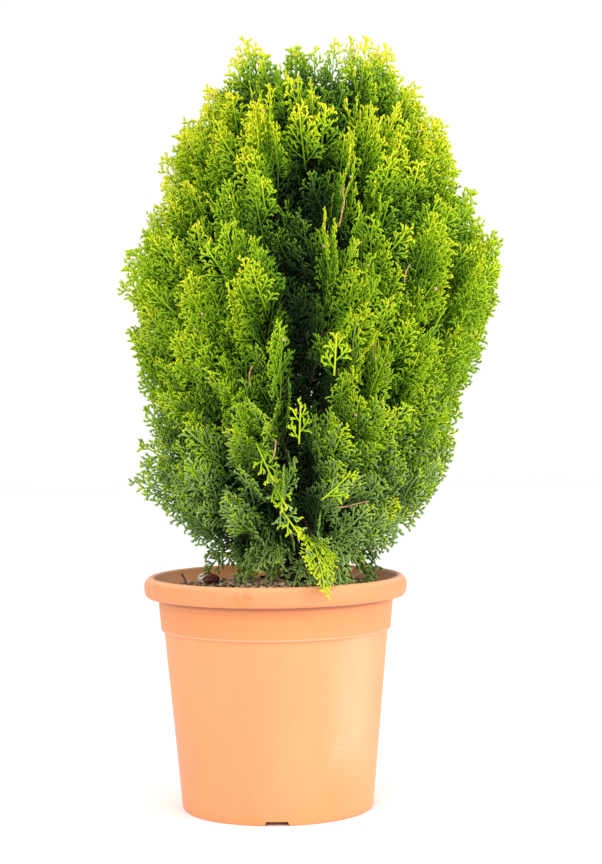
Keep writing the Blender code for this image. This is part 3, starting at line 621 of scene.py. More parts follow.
def build_pot():
    vertices, quads, triangles = turned_arrays(pot_profile(), POT_STEPS)
    pot = mesh_object("pot_shell", vertices, quads, triangles, pot_material())
    bm = bmesh.new()
    for index in range(NOTCH_COUNT):
        made = bmesh.ops.create_cube(bm, size=1.0)
        turn = Matrix.Rotation(math.tau * index / NOTCH_COUNT - math.pi / 2, 3, "Z")
        for vertex in made["verts"]:
            top = vertex.co.z > 0
            width = NOTCH_TOP_WIDTH if top else NOTCH_WIDTH * 1.12
            vertex.co = turn @ Vector((FOOT_RADIUS - FOOT_RING / 2 + vertex.co.x * (FOOT_RING + FOOT_RAISE),
                                       vertex.co.y * width, FOOT_RAISE * 0.95 if top else -0.003))
    for index in range(DRAIN_COUNT):
        angle = math.tau * (index + 0.5) / DRAIN_COUNT
        reach = FOOT_RADIUS - FOOT_RING - FOOT_RAISE - DRAIN_RADIUS - 0.0025
        made = bmesh.ops.create_cone(bm, cap_ends=True, segments=28, radius1=DRAIN_RADIUS,
                                     radius2=DRAIN_RADIUS, depth=(FOOT_RAISE + WALL) * 2)
        bmesh.ops.translate(bm, verts=made["verts"],
                            vec=(reach * math.cos(angle), reach * math.sin(angle), FOOT_RAISE))
    cutter = bpy.data.meshes.new("foot_cutter")
    bm.to_mesh(cutter)
    bm.free()
    cut_from(pot, cutter)
    pot.data.set_sharp_from_angle(angle=math.radians(38))
    placed(pot, "terracotta_plastic", "pot")


# ---------------------------------------------------------------- soil and litter

def soil_top(x, y):
    """Height of the soil: mounded to the middle, with a heap of mulch in front of the trunk."""
    share = np.minimum(np.hypot(x, y) / SOIL_EDGE, 1)
    heap = np.exp(-((x - HEAP_PLACE[0]) ** 2 + (y - HEAP_PLACE[1]) ** 2) / HEAP_RADIUS ** 2)
    return SOIL_LEVEL + SOIL_MOUND * (1 - share ** 2) ** 2 + HEAP_RISE * heap


def build_soil():
    rings = 70
    steps = 260
    top = [(SOIL_EDGE * i / rings, SOIL_LEVEL) for i in range(rings + 1)]
    slope = (BODY_TOP_RADIUS - FOOT_RADIUS) / BODY_TOP
    floor = FOOT_RAISE + WALL + 0.0006
    under = [(BODY_TOP_RADIUS - WALL - 0.0006, BODY_TOP), (FOOT_RADIUS + slope * floor - WALL - 0.0006, floor),
             (0.0, floor)]
    vertices, quads, triangles = turned_arrays(list(reversed(top + under)), steps)
    surface = vertices[:, 2] > SOIL_LEVEL - 1e-6
    x, y = vertices[surface, 0], vertices[surface, 1]
    lumps = np.array([noise.noise(Vector((a * 90, b * 90, 0))) * 0.0016
                      + noise.noise(Vector((a * 320, b * 320, 5))) * 0.0011 for a, b in zip(x, y)])
    vertices[surface, 2] = soil_top(x, y) + lumps
    soil = mesh_object("soil_mound", vertices, quads, triangles, earth_material())
    placed(soil, "soil", "soil")


def chips(count, places, heights, sizes, tones, rng, tilt):
    """Many irregular six-sided flakes as one set of arrays."""
    corners = np.array([[x, y, z] for z in (-0.5, 0.5) for y in (-0.5, 0.5) for x in (-0.5, 0.5)])
    shapes = corners[None] + rng.uniform(-0.17, 0.17, (count, 8, 3))
    shapes = shapes * sizes[:, None]
    turn = rng.uniform(0, math.tau, count)
    lean = rng.normal(0, tilt, (2, count))
    cos, sin = np.cos(turn), np.sin(turn)
    x = shapes[..., 0] * cos[:, None] - shapes[..., 1] * sin[:, None]
    y = shapes[..., 0] * sin[:, None] + shapes[..., 1] * cos[:, None]
    z = shapes[..., 2] + x * lean[0][:, None] + y * lean[1][:, None]
    points = np.stack([x + places[:, 0:1], y + places[:, 1:2], z + heights[:, None]], axis=-1)
    faces = np.array([(0, 2, 3, 1), (4, 5, 7, 6), (0, 1, 5, 4), (1, 3, 7, 5), (3, 2, 6, 7), (2, 0, 4, 6)])
    quads = (faces[None] + (np.arange(count) * 8)[:, None, None]).reshape(-1, 4)
    uv = np.zeros((count, 8, 2))
    uv[:, :, 0] = np.linspace(0.1, 0.9, 8)
    uv[:, :, 1] = tones[:, None] + rng.uniform(-0.03, 0.03, (count, 8))
    return points.reshape(-1, 3), quads, uv.reshape(-1, 2)


def build_debris():
    """Bark mulch, crumbs and fibres scattered over the soil."""
    rng = np.random.default_rng(SEED + 3)
    angle = rng.uniform(0, math.tau, DEBRIS_COUNT)
    radius = SOIL_EDGE * 0.96 * np.sqrt(rng.uniform(0, 1, DEBRIS_COUNT))
    places = np.stack([radius * np.cos(angle), radius * np.sin(angle)], axis=1)
    heaped = rng.uniform(0, 1, DEBRIS_COUNT) < 0.22
    near = np.array(HEAP_PLACE) + rng.normal(0, HEAP_RADIUS * 0.6, (DEBRIS_COUNT, 2))
    places[heaped] = near[heaped]
    clear = np.hypot(places[:, 0] - TRUNK_PLACE[0], places[:, 1] - TRUNK_PLACE[1]) > 0.011
    places = places[clear & (np.hypot(places[:, 0], places[:, 1]) < SOIL_EDGE * 0.96)]
    count = len(places)
    length = rng.uniform(0.0015, 0.0050, count) * rng.choice([1, 1, 1, 1.9], count)
    fibre = rng.uniform(0, 1, count) < 0.3
    width = np.where(fibre, 0.0006, length * rng.uniform(0.35, 0.8, count))
    thick = np.where(fibre, 0.0005, rng.uniform(0.0005, 0.0016, count))
    heights = soil_top(places[:, 0], places[:, 1]) + thick * 0.5 + rng.uniform(0, 0.0012, count)
    tones = rng.beta(1.7, 1.4, count)
    points, quads, uv = chips(count, places, heights, np.stack([length, width, thick], axis=1), tones,
                              rng, 0.22)
    material = tinted_material("bark_mulch", ((0.0, (0.020, 0.011, 0.006)), (0.30, (0.100, 0.052, 0.028)),
                                              (0.60, (0.350, 0.215, 0.128)), (0.85, (0.640, 0.470, 0.300)),
                                              (1.0, (0.860, 0.760, 0.590))), 700.0, 0.0004, uv_tone=True)
    mulch = mesh_object("bark_mulch", points, quads, np.zeros((0, 3), int), material, uv, smooth=False)
    placed(mulch, "soil")


def solid_axes(name):
    """Centre, axes and half extents of a CAD node."""
    points = node_points(name)
    centre = (points.max(0) + points.min(0)) / 2
    _, _, axes = np.linalg.svd(points - points.mean(0), full_matrices=False)
    reach = np.abs((points - centre) @ axes.T).max(0)
    return centre, axes, reach


def build_stone(name, material, roughness, seed, swell=1.0):
    """A stone of about the CAD node's size, with an uneven surface."""
    centre, axes, reach = solid_axes(name)
    reach = reach * swell
    bm = bmesh.new()
    bmesh.ops.create_icosphere(bm, subdivisions=5, radius=1.0)
    for vertex in bm.verts:
        where = vertex.co * 1.3 + Vector((seed, 0, 0))
        coarse = noise.noise(where)
        fine = noise.noise(where * 5)
        vertex.co *= 0.93 + 0.16 * coarse + roughness * fine
    points = np.array([vertex.co[:] for vertex in bm.verts])
    for vertex, place in zip(bm.verts, centre + (points * reach) @ axes):
        vertex.co = place
    mesh = bpy.data.meshes.new(name + "_rock")
    bm.to_mesh(mesh)
    bm.free()
    mesh.shade_smooth()
    mesh.materials.append(material)
    stone = bpy.data.objects.new(name + "_rock", mesh)
    bpy.context.scene.collection.objects.link(stone)
    placed(stone, SLOTS[name], name)


def build_flake(name, material, seed):
    """A flake of bark mulch: a worn slab of the CAD node's size."""
    centre, axes, reach = solid_axes(name)
    bm = bmesh.new()
    bmesh.ops.create_cube(bm, size=2.0)
    bmesh.ops.subdivide_edges(bm, edges=bm.edges[:], cuts=15, use_grid_fill=True)
    points = np.array([vertex.co[:] for vertex in bm.verts])
    points[:, :2] *= 1 - 0.12 * np.abs(points[:, 1::-1]) ** 3
    points = uneven(points, 1.7, 0.16, seed)
    points = uneven(points * [1, 1, 0.9], 6.0, 0.05, seed)
    for vertex, place in zip(bm.verts, centre + (points * reach) @ axes):
        vertex.co = place
    mesh = bpy.data.meshes.new(name + "_flake")
    bm.to_mesh(mesh)
    bm.free()
    mesh.shade_smooth()
    mesh.materials.append(material)
    flake = bpy.data.objects.new(name + "_flake", mesh)
    bpy.context.scene.collection.objects.link(flake)
    placed(flake, SLOTS[name], name)


def tube_arrays(centres, radii, sides, ruggedness, seed):
    """A closed round tube through centres, roughened by noise."""
    centres = np.asarray(centres, float)
    slopes = unit(np.gradient(centres, axis=0))
    side = unit(np.cross(slopes, np.array([0.31, 0.95, 0.05])))
    other = np.cross(slopes, side)
    angles = np.arange(sides) / sides * math.tau
    ring = (side[:, None] * np.cos(angles)[None, :, None] + other[:, None] * np.sin(angles)[None, :, None])
    rough = np.ones((len(centres), sides))
    for i, centre in enumerate(centres):
        for j, spoke in enumerate(ring[i]):
            place = Vector(spoke) * 2.2 + Vector((0, 0, float(np.linalg.norm(centre) * 55))) + Vector((seed,) * 3)
            rough[i, j] += ruggedness * noise.noise(place)
    vertices = centres[:, None] + ring * (np.asarray(radii)[:, None] * rough)[..., None]
    count = len(centres)
    row, step = np.meshgrid(np.arange(count - 1), np.arange(sides), indexing="ij")
    following = (step + 1) % sides
    quads = np.stack([row * sides + step, row * sides + following, (row + 1) * sides + following,
                      (row + 1) * sides + step], axis=-1).reshape(-1, 4)
    around = np.arange(sides)
    ends = np.stack([centres[0], centres[-1]])
    first = count * sides
    triangles = np.concatenate([
        np.stack([np.full(sides, first), (around + 1) % sides, around], axis=1),
        np.stack([np.full(sides, first + 1), (count - 1) * sides + around,
                  (count - 1) * sides + (around + 1) % sides], axis=1)])
    return np.concatenate([vertices.reshape(-1, 3), ends]), quads, triangles


def build_stems(bark):
    """The trunk and the limbs, with ridged bark."""
    for name in ["trunk"] + [f"limb_{index + 1}" for index in range(6)]:
        centres, radii = rings_of(name)
        heights = np.arange(centres[0, 2], centres[-1, 2], 0.0035)
        line = np.stack([np.interp(heights, centres[:, 2], centres[:, axis]) for axis in range(3)], axis=1)
        girth = np.interp(heights, centres[:, 2], radii)
        sides = 26 if name == "trunk" else 12
        vertices, quads, triangles = tube_arrays(line, girth, sides, 0.30, len(name) + girth[0] * 900)
        placed(mesh_object(name + "_bark", vertices, quads, triangles, bark), "bark", name)


def along_line(name, axis, steps):
    """The centre line of a thin CAD tube, read along its longest way."""
    points = node_points(name)
    centre, axes, reach = solid_axes(name)
    share = (points - centre) @ axes[axis]
    line = []
    for place in np.linspace(share.min(), share.max(), steps):
        near = points[np.argsort(np.abs(share - place))[:8]]
        line.append(near.mean(0))
    return np.array(line)


def build_twig_and_grass():
    dark = tinted_material("dead_wood", ((0.3, (0.020, 0.012, 0.008)), (0.7, (0.14, 0.085, 0.055))), 500.0,
                           0.0004)
    straw = tinted_material("straw", ((0.3, (0.42, 0.30, 0.14)), (0.7, (0.80, 0.66, 0.40))), 400.0, 0.0003)
    for name, material, radius, sides in (("dead_twig", dark, 0.0009, 12), ("dry_grass", straw, 0.0005, 8)):
        line = along_line(name, 0, 24)
        girth = radius * np.linspace(1.0, 0.75, len(line))
        vertices, quads, triangles = tube_arrays(line, girth, sides, 0.25, 3.0)
        placed(mesh_object(name + "_stalk", vertices, quads, triangles, material), SLOTS[name], name)


def build_litter():
    build_debris()
    white = tinted_material("white_stone_face", ((0.3, (0.62, 0.60, 0.56)), (0.55, (0.95, 0.94, 0.91))), 380.0,
                            0.0003, 0.7)
    lava = tinted_material("lava_stone_face", ((0.3, (0.045, 0.014, 0.010)), (0.55, (0.20, 0.065, 0.045)),
                                               (0.75, (0.36, 0.16, 0.12))), 420.0, 0.0012)
    pink = tinted_material("pink_stone_face", ((0.3, (0.30, 0.19, 0.15)), (0.7, (0.62, 0.46, 0.40))), 300.0,
                           0.0005, 0.75)
    build_stone("white_stone", white, 0.06, 1.0, 1.45)
    build_stone("lava_stone", lava, 0.16, 4.0)
    build_stone("pink_stone", pink, 0.03, 7.0)
    flake = tinted_material("bark_flake", ((0.25, (0.10, 0.052, 0.028)), (0.5, (0.38, 0.235, 0.140)),
                                           (0.75, (0.66, 0.49, 0.32))), 330.0, 0.0007)
    for index in range(3):
        build_flake(f"bark_chip_{index + 1}", flake, 2.0 + index)
    build_twig_and_grass()


# ---------------------------------------------------------------- crown laws

TRUNK_LINE = rings_of("trunk")[0]


def axis_at(height):
    """The plant's axis at one height or many."""
    return np.stack([np.interp(height, TRUNK_LINE[:, 2], TRUNK_LINE[:, 0]),
                     np.interp(height, TRUNK_LINE[:, 2], TRUNK_LINE[:, 1])], axis=-1)


def crown_share(height):
    return (height - CROWN_BASE) / (CROWN_TOP - CROWN_BASE)


def outline_radius(share):
    places, values = np.array(CROWN_OUTLINE).T
    return CROWN_RADIUS * np.interp(share, places, values)


def exposure(points):
    """0 at the plant's axis, 1 at the crown's outline or its top."""
    offset = points[..., :2] - axis_at(points[..., 2])
    offset = offset / np.array([1.0, CROWN_DEPTH])
    share = crown_share(points[..., 2])
    around = np.linalg.norm(offset, axis=-1) / outline_radius(share)
    return np.maximum(around, 1 - (1 - share) * CROWN_CAP_DEPTH)


def resting_tint(points):
    """Green of the foliage by its place, with painted shade and light: dark inside and low down, brighter outside
    and high.
    """
    outward = np.clip(exposure(points), 0, 0.96)
    share = np.clip(crown_share(points[..., 2]), 0, 1)
    return (0.41 * outward ** 3.6 + 0.28 * share ** 0.8 * (0.06 + 0.94 * outward ** 2.2)
            + outward ** 3 * (TOP_PAINTED_LIGHT * np.clip((share - 0.60) / 0.40, 0, 1)
                              + LOW_GLOW * np.clip(1 - share / 0.35, 0, 1)))


# ---------------------------------------------------------------- shoots

class Shoots:
    """Curved shoots, point = start + linear * t + square * t * t for t from 0 to 1.

    fresh is 1 for shoots at the growing end of their spray; gold is the spray's own share of
    golden tips, and shift its own shade of green.
    """

    FIELDS = ("start", "linear", "square", "normal", "fresh", "gold", "shift")

    def __init__(self, start, linear, square, normal, fresh, gold, shift):
        self.start = start
        self.linear = linear
        self.square = square
        self.normal = unit(normal)
        self.fresh = fresh
        self.gold = gold
        self.shift = shift
        self.length = np.linalg.norm(linear + square, axis=1)

    def __len__(self):
        return len(self.start)

    def at(self, share, index=slice(None)):
        share = np.asarray(share)[..., None]
        return self.start[index] + self.linear[index] * share + self.square[index] * share * share

    def heading(self, share, index=slice(None)):
        return unit(self.linear[index] + 2 * self.square[index] * np.asarray(share)[..., None])

    def chosen(self, keep):
        return Shoots(*(getattr(self, field)[keep] for field in self.FIELDS))


def joined(groups):
    return Shoots(*(np.concatenate([getattr(group, field) for group in groups])
                    for field in Shoots.FIELDS))


def branch_off(parents, spacing, reach, lengths, angles, curl, wobble, rng, freshness=0.5):
    """Side shoots, alternately left and right in the plane of each parent.

    lengths(parent length, share) gives a shoot's length; angles are at the parent's base and tip.
    """
    counts = np.maximum((parents.length * (reach[1] - reach[0]) / spacing).astype(int), 0)
    index = np.repeat(np.arange(len(parents)), counts)
    order = np.arange(len(index)) - np.repeat(np.cumsum(counts) - counts, counts)
    share = reach[0] + (order + 0.5 + rng.uniform(-0.22, 0.22, len(index))) / counts[index] * (
        reach[1] - reach[0])
    flip = rng.integers(0, 2, len(parents))
    side = np.where((order + flip[index]) % 2 == 0, 1.0, -1.0)
    heading = parents.heading(share, index)
    normal = parents.normal[index]
    normal = unit(normal - heading * np.sum(normal * heading, axis=1, keepdims=True))
    across = np.cross(normal, heading) * side[:, None]
    angle = np.radians(mix(angles[0], angles[1], share) + rng.normal(0, 3.5, len(index)))
    lift = rng.normal(0, wobble, len(index))
    direction = unit(heading * np.cos(angle)[:, None] + across * np.sin(angle)[:, None]
                     + normal * lift[:, None])
    length = lengths(parents.length[index], share) * rng.uniform(0.86, 1.12, len(index))
    bend = unit(heading - direction * np.sum(heading * direction, axis=1, keepdims=True))
    child_normal = unit(normal + rng.normal(0, wobble, (len(index), 3)))
    child_normal = unit(child_normal - direction * np.sum(child_normal * direction, axis=1, keepdims=True))
    fresh = mix(parents.fresh[index], share, freshness)
    return Shoots(parents.at(share, index), direction * length[:, None] * (1 - curl * 0.4),
                  bend * (length * curl)[:, None], child_normal, fresh, parents.gold[index],
                  parents.shift[index] + rng.normal(0, 0.02, len(index)))


def tubes(shoots, stations, widths, thickness, tip, rng, lighter=0.0, contrast=0.0):
    """Closed flattened four-sided tubes round shoots: vertices, quads, triangles and uv."""
    sides = 4
    count = len(shoots)
    rings = len(stations)
    around = np.arange(sides) / sides * math.tau
    vertices = np.zeros((count, rings * sides + 1, 3))
    uv = np.zeros((count, rings * sides + 1, 2))
    span = np.maximum(shoots.length, SCALE_SPAN)
    for ring, (station, width, thick) in enumerate(zip(stations, widths, thickness)):
        centre = shoots.at(np.full(count, station))
        heading = shoots.heading(np.full(count, station))
        normal = unit(shoots.normal - heading * np.sum(shoots.normal * heading, axis=1, keepdims=True))
        across = np.cross(normal, heading)
        vertices[:, ring * sides:(ring + 1) * sides] = (
            centre[:, None] + across[:, None] * (np.cos(around)[None, :, None] * width)
            + normal[:, None] * (np.sin(around)[None, :, None] * thick))
        uv[:, ring * sides:(ring + 1) * sides, 0] = (1 - shoots.length * (1 - station) / span)[:, None]
    vertices[:, -1] = shoots.at(np.ones(count)) + shoots.heading(np.ones(count)) * tip
    uv[:, -1, 0] = 1.0
    outward = exposure(vertices)
    along = np.append(np.repeat(np.array(stations), sides), 1.0)[None]
    youth = np.clip((shoots.fresh - 0.22) / 0.50, 0, 1)[:, None]
    gate = np.clip((outward - 0.55) / 0.30, 0, 1)
    golden = shoots.gold[:, None] * youth * gate * (0.02 + 0.98 * along ** 4)
    # contrast darkens the base of each shoot and lightens its tip: painted shade within the sprays
    tint = (resting_tint(vertices) + shoots.shift[:, None] + lighter + 0.58 * golden
            + contrast * (along - 0.6))
    low = crown_share(shoots.start[:, 2])
    shady = (outward.mean(1) < 0.60 + rng.normal(0, 0.05, count)) | (low < rng.normal(0.19, 0.09, count))
    shady &= shoots.shift < SUNNY_SHIFT - 0.03
    uv[:, :, 0] = 0.01 + 0.48 * np.clip(uv[:, :, 0], 0, 1) + 0.5 * shady[:, None]
    uv[:, :, 1] = np.clip(tint, 0.015, 0.985)
    uv[:, :-1, 1] += 0.010 * np.tile(np.cos(around), rings)[None]
    quads = []
    for ring in range(rings - 1):
        for side in range(sides):
            following = (side + 1) % sides
            quads.append((ring * sides + side, ring * sides + following,
                          (ring + 1) * sides + following, (ring + 1) * sides + side))
    quads.append((3, 2, 1, 0))
    last = (rings - 1) * sides
    triangles = [(last + side, last + (side + 1) % sides, rings * sides) for side in range(sides)]
    offset = (np.arange(count) * (rings * sides + 1))[:, None, None]
    quads = (np.array(quads)[None] + offset).reshape(-1, 4)
    triangles = (np.array(triangles)[None] + offset).reshape(-1, 3)
    return vertices.reshape(-1, 3), quads, triangles, uv.reshape(-1, 2)


def leafy(name, sprays, rng, material):
    """A foliage object: sprays with their branches, leafy shoots and short side shoots."""
    def branch_length(length, share):
        return length * 0.44 * (1 - share) ** 0.8 * np.minimum(1, 0.5 + share * 3.5) + 0.0050

    def finger_length(length, share):
        return np.minimum(length * 0.50 * (1 - share) ** 0.6 + 0.0028, 0.0125)

    branches = branch_off(sprays, BRANCH_SPACING, (0.05, 0.97), branch_length, (50, 38), 0.16, 0.09,
                          rng, 0.75)
    fingers = branch_off(branches, FINGER_SPACING, (0.12, 0.97), finger_length, (50, 40), 0.12, 0.07,
                         rng, 0.35)
    nubs = branch_off(fingers.chosen(fingers.length > 0.0052), NUB_SPACING, (0.28, 0.93),
                      lambda length, share: 0.0028 + 0.16 * length * (1 - share), (50, 44), 0.1, 0.06,
                      rng, 0.3)
    ends = branch_off(sprays, FINGER_SPACING, (0.80, 0.985), lambda length, share: 0.0044 + 0 * share,
                      (48, 40), 0.12, 0.06, rng, 0.9)
    w, h = SHOOT_HALF_WIDTH, SHOOT_HALF_THICKNESS
    pieces = [
        tubes(sprays, (0, 0.25, 0.5, 0.75, 0.97), (w * 0.95, w * 0.9, w * 0.85, w * 0.8, w),
              (h * 1.5, h * 1.4, h * 1.3, h * 1.2, h), w * 0.6, rng, 0.04),
        tubes(branches, (0, 0.45, 0.92), (w * 0.62, w * 0.68, w * 1.0), (h * 1.1, h * 1.1, h), w * 0.7,
              rng, 0.02),
    ]
    for group in (fingers, nubs, ends):
        pieces.append(tubes(group, (0, 0.66), (w * 0.66, w * 1.08), (h * 0.9, h * 1.1), w * 0.7, rng,
                            0.0, 0.34))
    vertices, quads, triangles, uv = stacked(pieces)
    return mesh_object(name, vertices, quads, triangles, material, uv)


# ---------------------------------------------------------------- fans

def frond_shape(name):
    """Foot, middle control point, tip, flat normal and half width of a frond's CAD solid."""
    points = node_points(name)
    centre = points.mean(0)
    away = np.linalg.norm(points[:, :2] - axis_at(points[:, 2]), axis=1)
    foot = points[np.argmin(away + points[:, 2] - points[:, 2].min())]
    tip = points[np.argmax(np.linalg.norm(points - foot, axis=1))]
    middle = 3.56 * centre - 1.28 * (foot + tip)
    _, _, axes = np.linalg.svd(points - centre, full_matrices=False)
    normal = axes[2]
    spread = (points - centre) @ np.cross(normal, unit(tip - foot))
    return foot, middle, tip, normal, (spread.max() - spread.min()) / 2


def filler_fans(rng):
    """Fans between the main ones: foot, middle, tip, normal and half width."""
    fans = []
    for index in range(FILLER_COUNT):
        share = mix(0.05, 0.97, (index + 0.5) / FILLER_COUNT) + rng.normal(0, 0.015)
        bearing = index * GOLDEN_ANGLE + rng.normal(0, 0.06)
        height = mix(CROWN_BASE, CROWN_TOP, share)
        away = abs((bearing - SLIT_BEARING + math.pi) % math.tau - math.pi)
        if away < SLIT_HALF_ANGLE and SLIT_SHARES[0] < share < SLIT_SHARES[1]:
            continue
        radius = outline_radius(share) * rng.uniform(*FILLER_REACH)
        places, feet = np.array(TIP_TO_FOOT).T
        foot_height = mix(CROWN_BASE, CROWN_TOP, np.interp(share, places, feet))
        outward = np.array([math.cos(bearing), math.sin(bearing)])
        tip = np.append(axis_at(height) + outward * radius * np.array([1, CROWN_DEPTH]), height)
        foot = np.append(axis_at(foot_height) + outward * 0.012, foot_height)
        run = tip - foot
        middle = foot + np.array([0.60, 0.60, 0.44]) * run
        across = np.array([-outward[1], outward[0], 0.0])
        twist = -FACING * math.sin(2 * bearing) + rng.normal(0, 0.30)
        normal = np.array(Matrix.Rotation(twist, 3, Vector(run)) @ Vector(across))
        width = FAN_HALF_WIDTH * (0.62 + 0.38 * outline_radius(share) / CROWN_RADIUS)
        fans.append((foot, middle, tip, normal, width))
    return fans


def within_crown(points):
    """Whether points are above the crown's underside and inside the space the plant may fill."""
    away = np.linalg.norm(points[:, :2] - axis_at(points[:, 2]), axis=1) / CROWN_RADIUS
    above = points[:, 2] > UNDERSIDE + UNDERSIDE_RISE * away ** 2
    above &= (points[:, 2] < TOP_LIMIT) & (exposure(points) < OUTER_LIMIT)
    low = np.array(CAD_LOW) - OVERHANG
    high = np.array(CAD_HIGH) + OVERHANG
    return above & np.all((points > low) & (points < high), axis=1)


def fan_sprays(fan, rng):
    """The axis of a fan and its sprays."""
    foot, middle, tip, normal, half_width = fan
    axis = Shoots(foot[None], 2 * (middle - foot)[None], (foot - 2 * middle + tip)[None], normal[None],
                  np.array([0.5]), np.array([1.0]), np.array([rng.normal(0, 0.02)]))

    def spray_length(length, share):
        swell = np.sin(np.pi * np.clip(share * 0.94 + 0.03, 0, 1) ** 1.25)
        return half_width * 1.65 * (0.42 + 0.58 * swell)

    sides = branch_off(axis, SPRAY_SPACING, (0.20, 0.95), spray_length, (50, 24), 0.28, 0.30, rng, 0.2)
    start = axis.at(np.array([0.70]))
    reach = axis.at(np.array([1.0])) - start
    end = Shoots(start, reach, reach * 0, axis.normal, np.array([0.6]), np.array([1.0]), axis.shift)
    if tip[2] > foot[2]:
        sides = sides.chosen(within_crown(sides.at(np.ones(len(sides)))))
    sprays = joined([sides, end])
    sprays.gold = rng.uniform(0.1, 1.0, len(sprays)) ** 1.3
    sprays.shift = sprays.shift + rng.normal(0, 0.035, len(sprays))
    return axis, sprays


def inner_fans(rng):
    """Short shaded fans near the axis, and sprays that hang over the soil."""
    fans = []
    for index in range(INNER_COUNT):
        share = mix(0.0, 0.90, (index + 0.5) / INNER_COUNT)
        bearing = index * GOLDEN_ANGLE * 1.31
        outward = np.array([math.cos(bearing), math.sin(bearing), 0.0])
        low = mix(CROWN_BASE, CROWN_TOP, share - 0.08)
        foot = np.append(axis_at(low), low) + outward * 0.008
        reach = outline_radius(share) * rng.uniform(0.22, 0.62)
        tip = foot + outward * reach + np.array([0, 0, rng.uniform(0.06, 0.11)])
        middle = foot + (tip - foot) * np.array([0.75, 0.75, 0.35])
        normal = outward + rng.normal(0, 0.35, 3) + np.array([0, 0, -0.3])
        fans.append((foot, middle, tip, normal, rng.uniform(0.026, 0.036)))
    for index in range(SLIT_FAN_COUNT):
        share = mix(0.10, 0.95, (index + 0.5) / SLIT_FAN_COUNT)
        bearing = SLIT_BEARING + rng.uniform(-0.55, 0.55)
        outward = np.array([math.cos(bearing), math.sin(bearing), 0.0])
        low = mix(CROWN_BASE, CROWN_TOP, share - 0.12)
        foot = np.append(axis_at(low), low) + outward * 0.012
        reach = outline_radius(share) * rng.uniform(0.24, 0.46)
        tip = foot + outward * reach + np.array([rng.normal(0, 0.012), 0, rng.uniform(0.06, 0.10)])
        middle = foot + (tip - foot) * np.array([0.80, 0.80, 0.35])
        normal = outward + rng.normal(0, 0.40, 3)
        fans.append((foot, middle, tip, normal, rng.uniform(0.024, 0.032)))
    for index in range(HANGING_COUNT):
        bearing = index * GOLDEN_ANGLE * 0.77 + 0.4
        if index % 4 == 0:
            bearing = math.radians(rng.uniform(*LOW_SIDE))
        outward = np.array([math.cos(bearing), math.sin(bearing), 0.0])
        low = CROWN_BASE + rng.uniform(0.025, 0.085)
        foot = np.append(axis_at(low), low) + outward * 0.010
        tip = foot + outward * rng.uniform(0.028, 0.072)
        tip[2] = soil_top(tip[0], tip[1]) + rng.uniform(0.005, 0.040)
        run = tip - foot
        across = unit(np.cross(run, np.array([0, 0, 1.0])))
        normal = np.array(Matrix.Rotation(rng.uniform(-1.2, 1.2), 3, Vector(run)) @ Vector(across))
        middle = foot + run * np.array([0.62, 0.62, 0.40]) + np.array([0, 0, 0.008])
        fans.append((foot, middle, tip, normal, rng.uniform(0.016, 0.024)))
    return fans


def outer_sprays(rng):
    """Small sprays that grow up and outwards all over the outside of the crown."""
    order = np.arange(OUTER_COUNT)
    share = mix(0.06, 1.0, (order + 0.5) / OUTER_COUNT) + rng.normal(0, 0.01, OUTER_COUNT)
    bearing = order * GOLDEN_ANGLE + rng.normal(0, 0.15, OUTER_COUNT)
    height = mix(CROWN_BASE, CROWN_TOP, share)
    outward = np.stack([np.cos(bearing), np.sin(bearing)], axis=1)
    reach = rng.uniform(*OUTER_REACH, OUTER_COUNT)
    crown_cap = share > 0.90
    reach[crown_cap] = np.sqrt(rng.uniform(0.02, 1, OUTER_COUNT))[crown_cap]
    height -= np.where(crown_cap, CAP_SINK * (1.2 - reach), 0.0)
    spread = outward * (outline_radius(share) * reach)[:, None] * np.array([1, CROWN_DEPTH])
    tips = np.column_stack([axis_at(height) + spread, height])
    around = np.stack([-outward[:, 1], outward[:, 0]], axis=1)
    lean = mix(1.40, 0.30, np.clip(share, 0, 1)) * reach
    away = np.abs((bearing - SLIT_BEARING + math.pi) % math.tau - math.pi)
    sway = rng.normal(0, 0.30, OUTER_COUNT) * np.clip(away / (3 * SLIT_HALF_ANGLE), 0.3, 1)
    heading = unit(np.column_stack([outward * lean[:, None] + around * sway[:, None],
                                    np.ones(OUTER_COUNT)]))
    length = rng.uniform(*OUTER_LENGTH, OUTER_COUNT)[:, None]
    roll = rng.normal(0, 0.85, OUTER_COUNT)[:, None]
    normal = np.column_stack([outward * np.cos(roll) + around * np.sin(roll), -0.3 * np.cos(roll)])
    bow = np.array([0.0, 0.0, 0.16]) * length
    sprays = Shoots(tips - heading * length, heading * length - bow, bow, normal,
                    rng.uniform(0.55, 0.80, OUTER_COUNT), rng.uniform(0.15, 1.0, OUTER_COUNT) ** 1.2,
                    rng.normal(0, 0.045, OUTER_COUNT))
    in_slit = (away < SLIT_HALF_ANGLE) & (share > SLIT_SHARES[0]) & (share < SLIT_SHARES[1])
    return sprays.chosen(within_crown(tips) & ~in_slit)


def hanging_frond(shape, rng):
    """The sunlit frond over the rim: one long spray."""
    foot, middle, tip, normal, _ = shape
    whole = Shoots(foot[None], 2 * (middle - foot)[None], (foot - 2 * middle + tip)[None], normal[None],
                   np.array([0.6]), np.array([0.40]), np.array([SUNNY_SHIFT]))
    begin = 0.30
    start = whole.at(np.array([begin]))
    linear = (whole.linear + 2 * begin * whole.square) * (1 - begin)
    spray = Shoots(start, linear, whole.square * (1 - begin) ** 2, whole.normal, whole.fresh, whole.gold,
                   whole.shift)
    return whole, spray


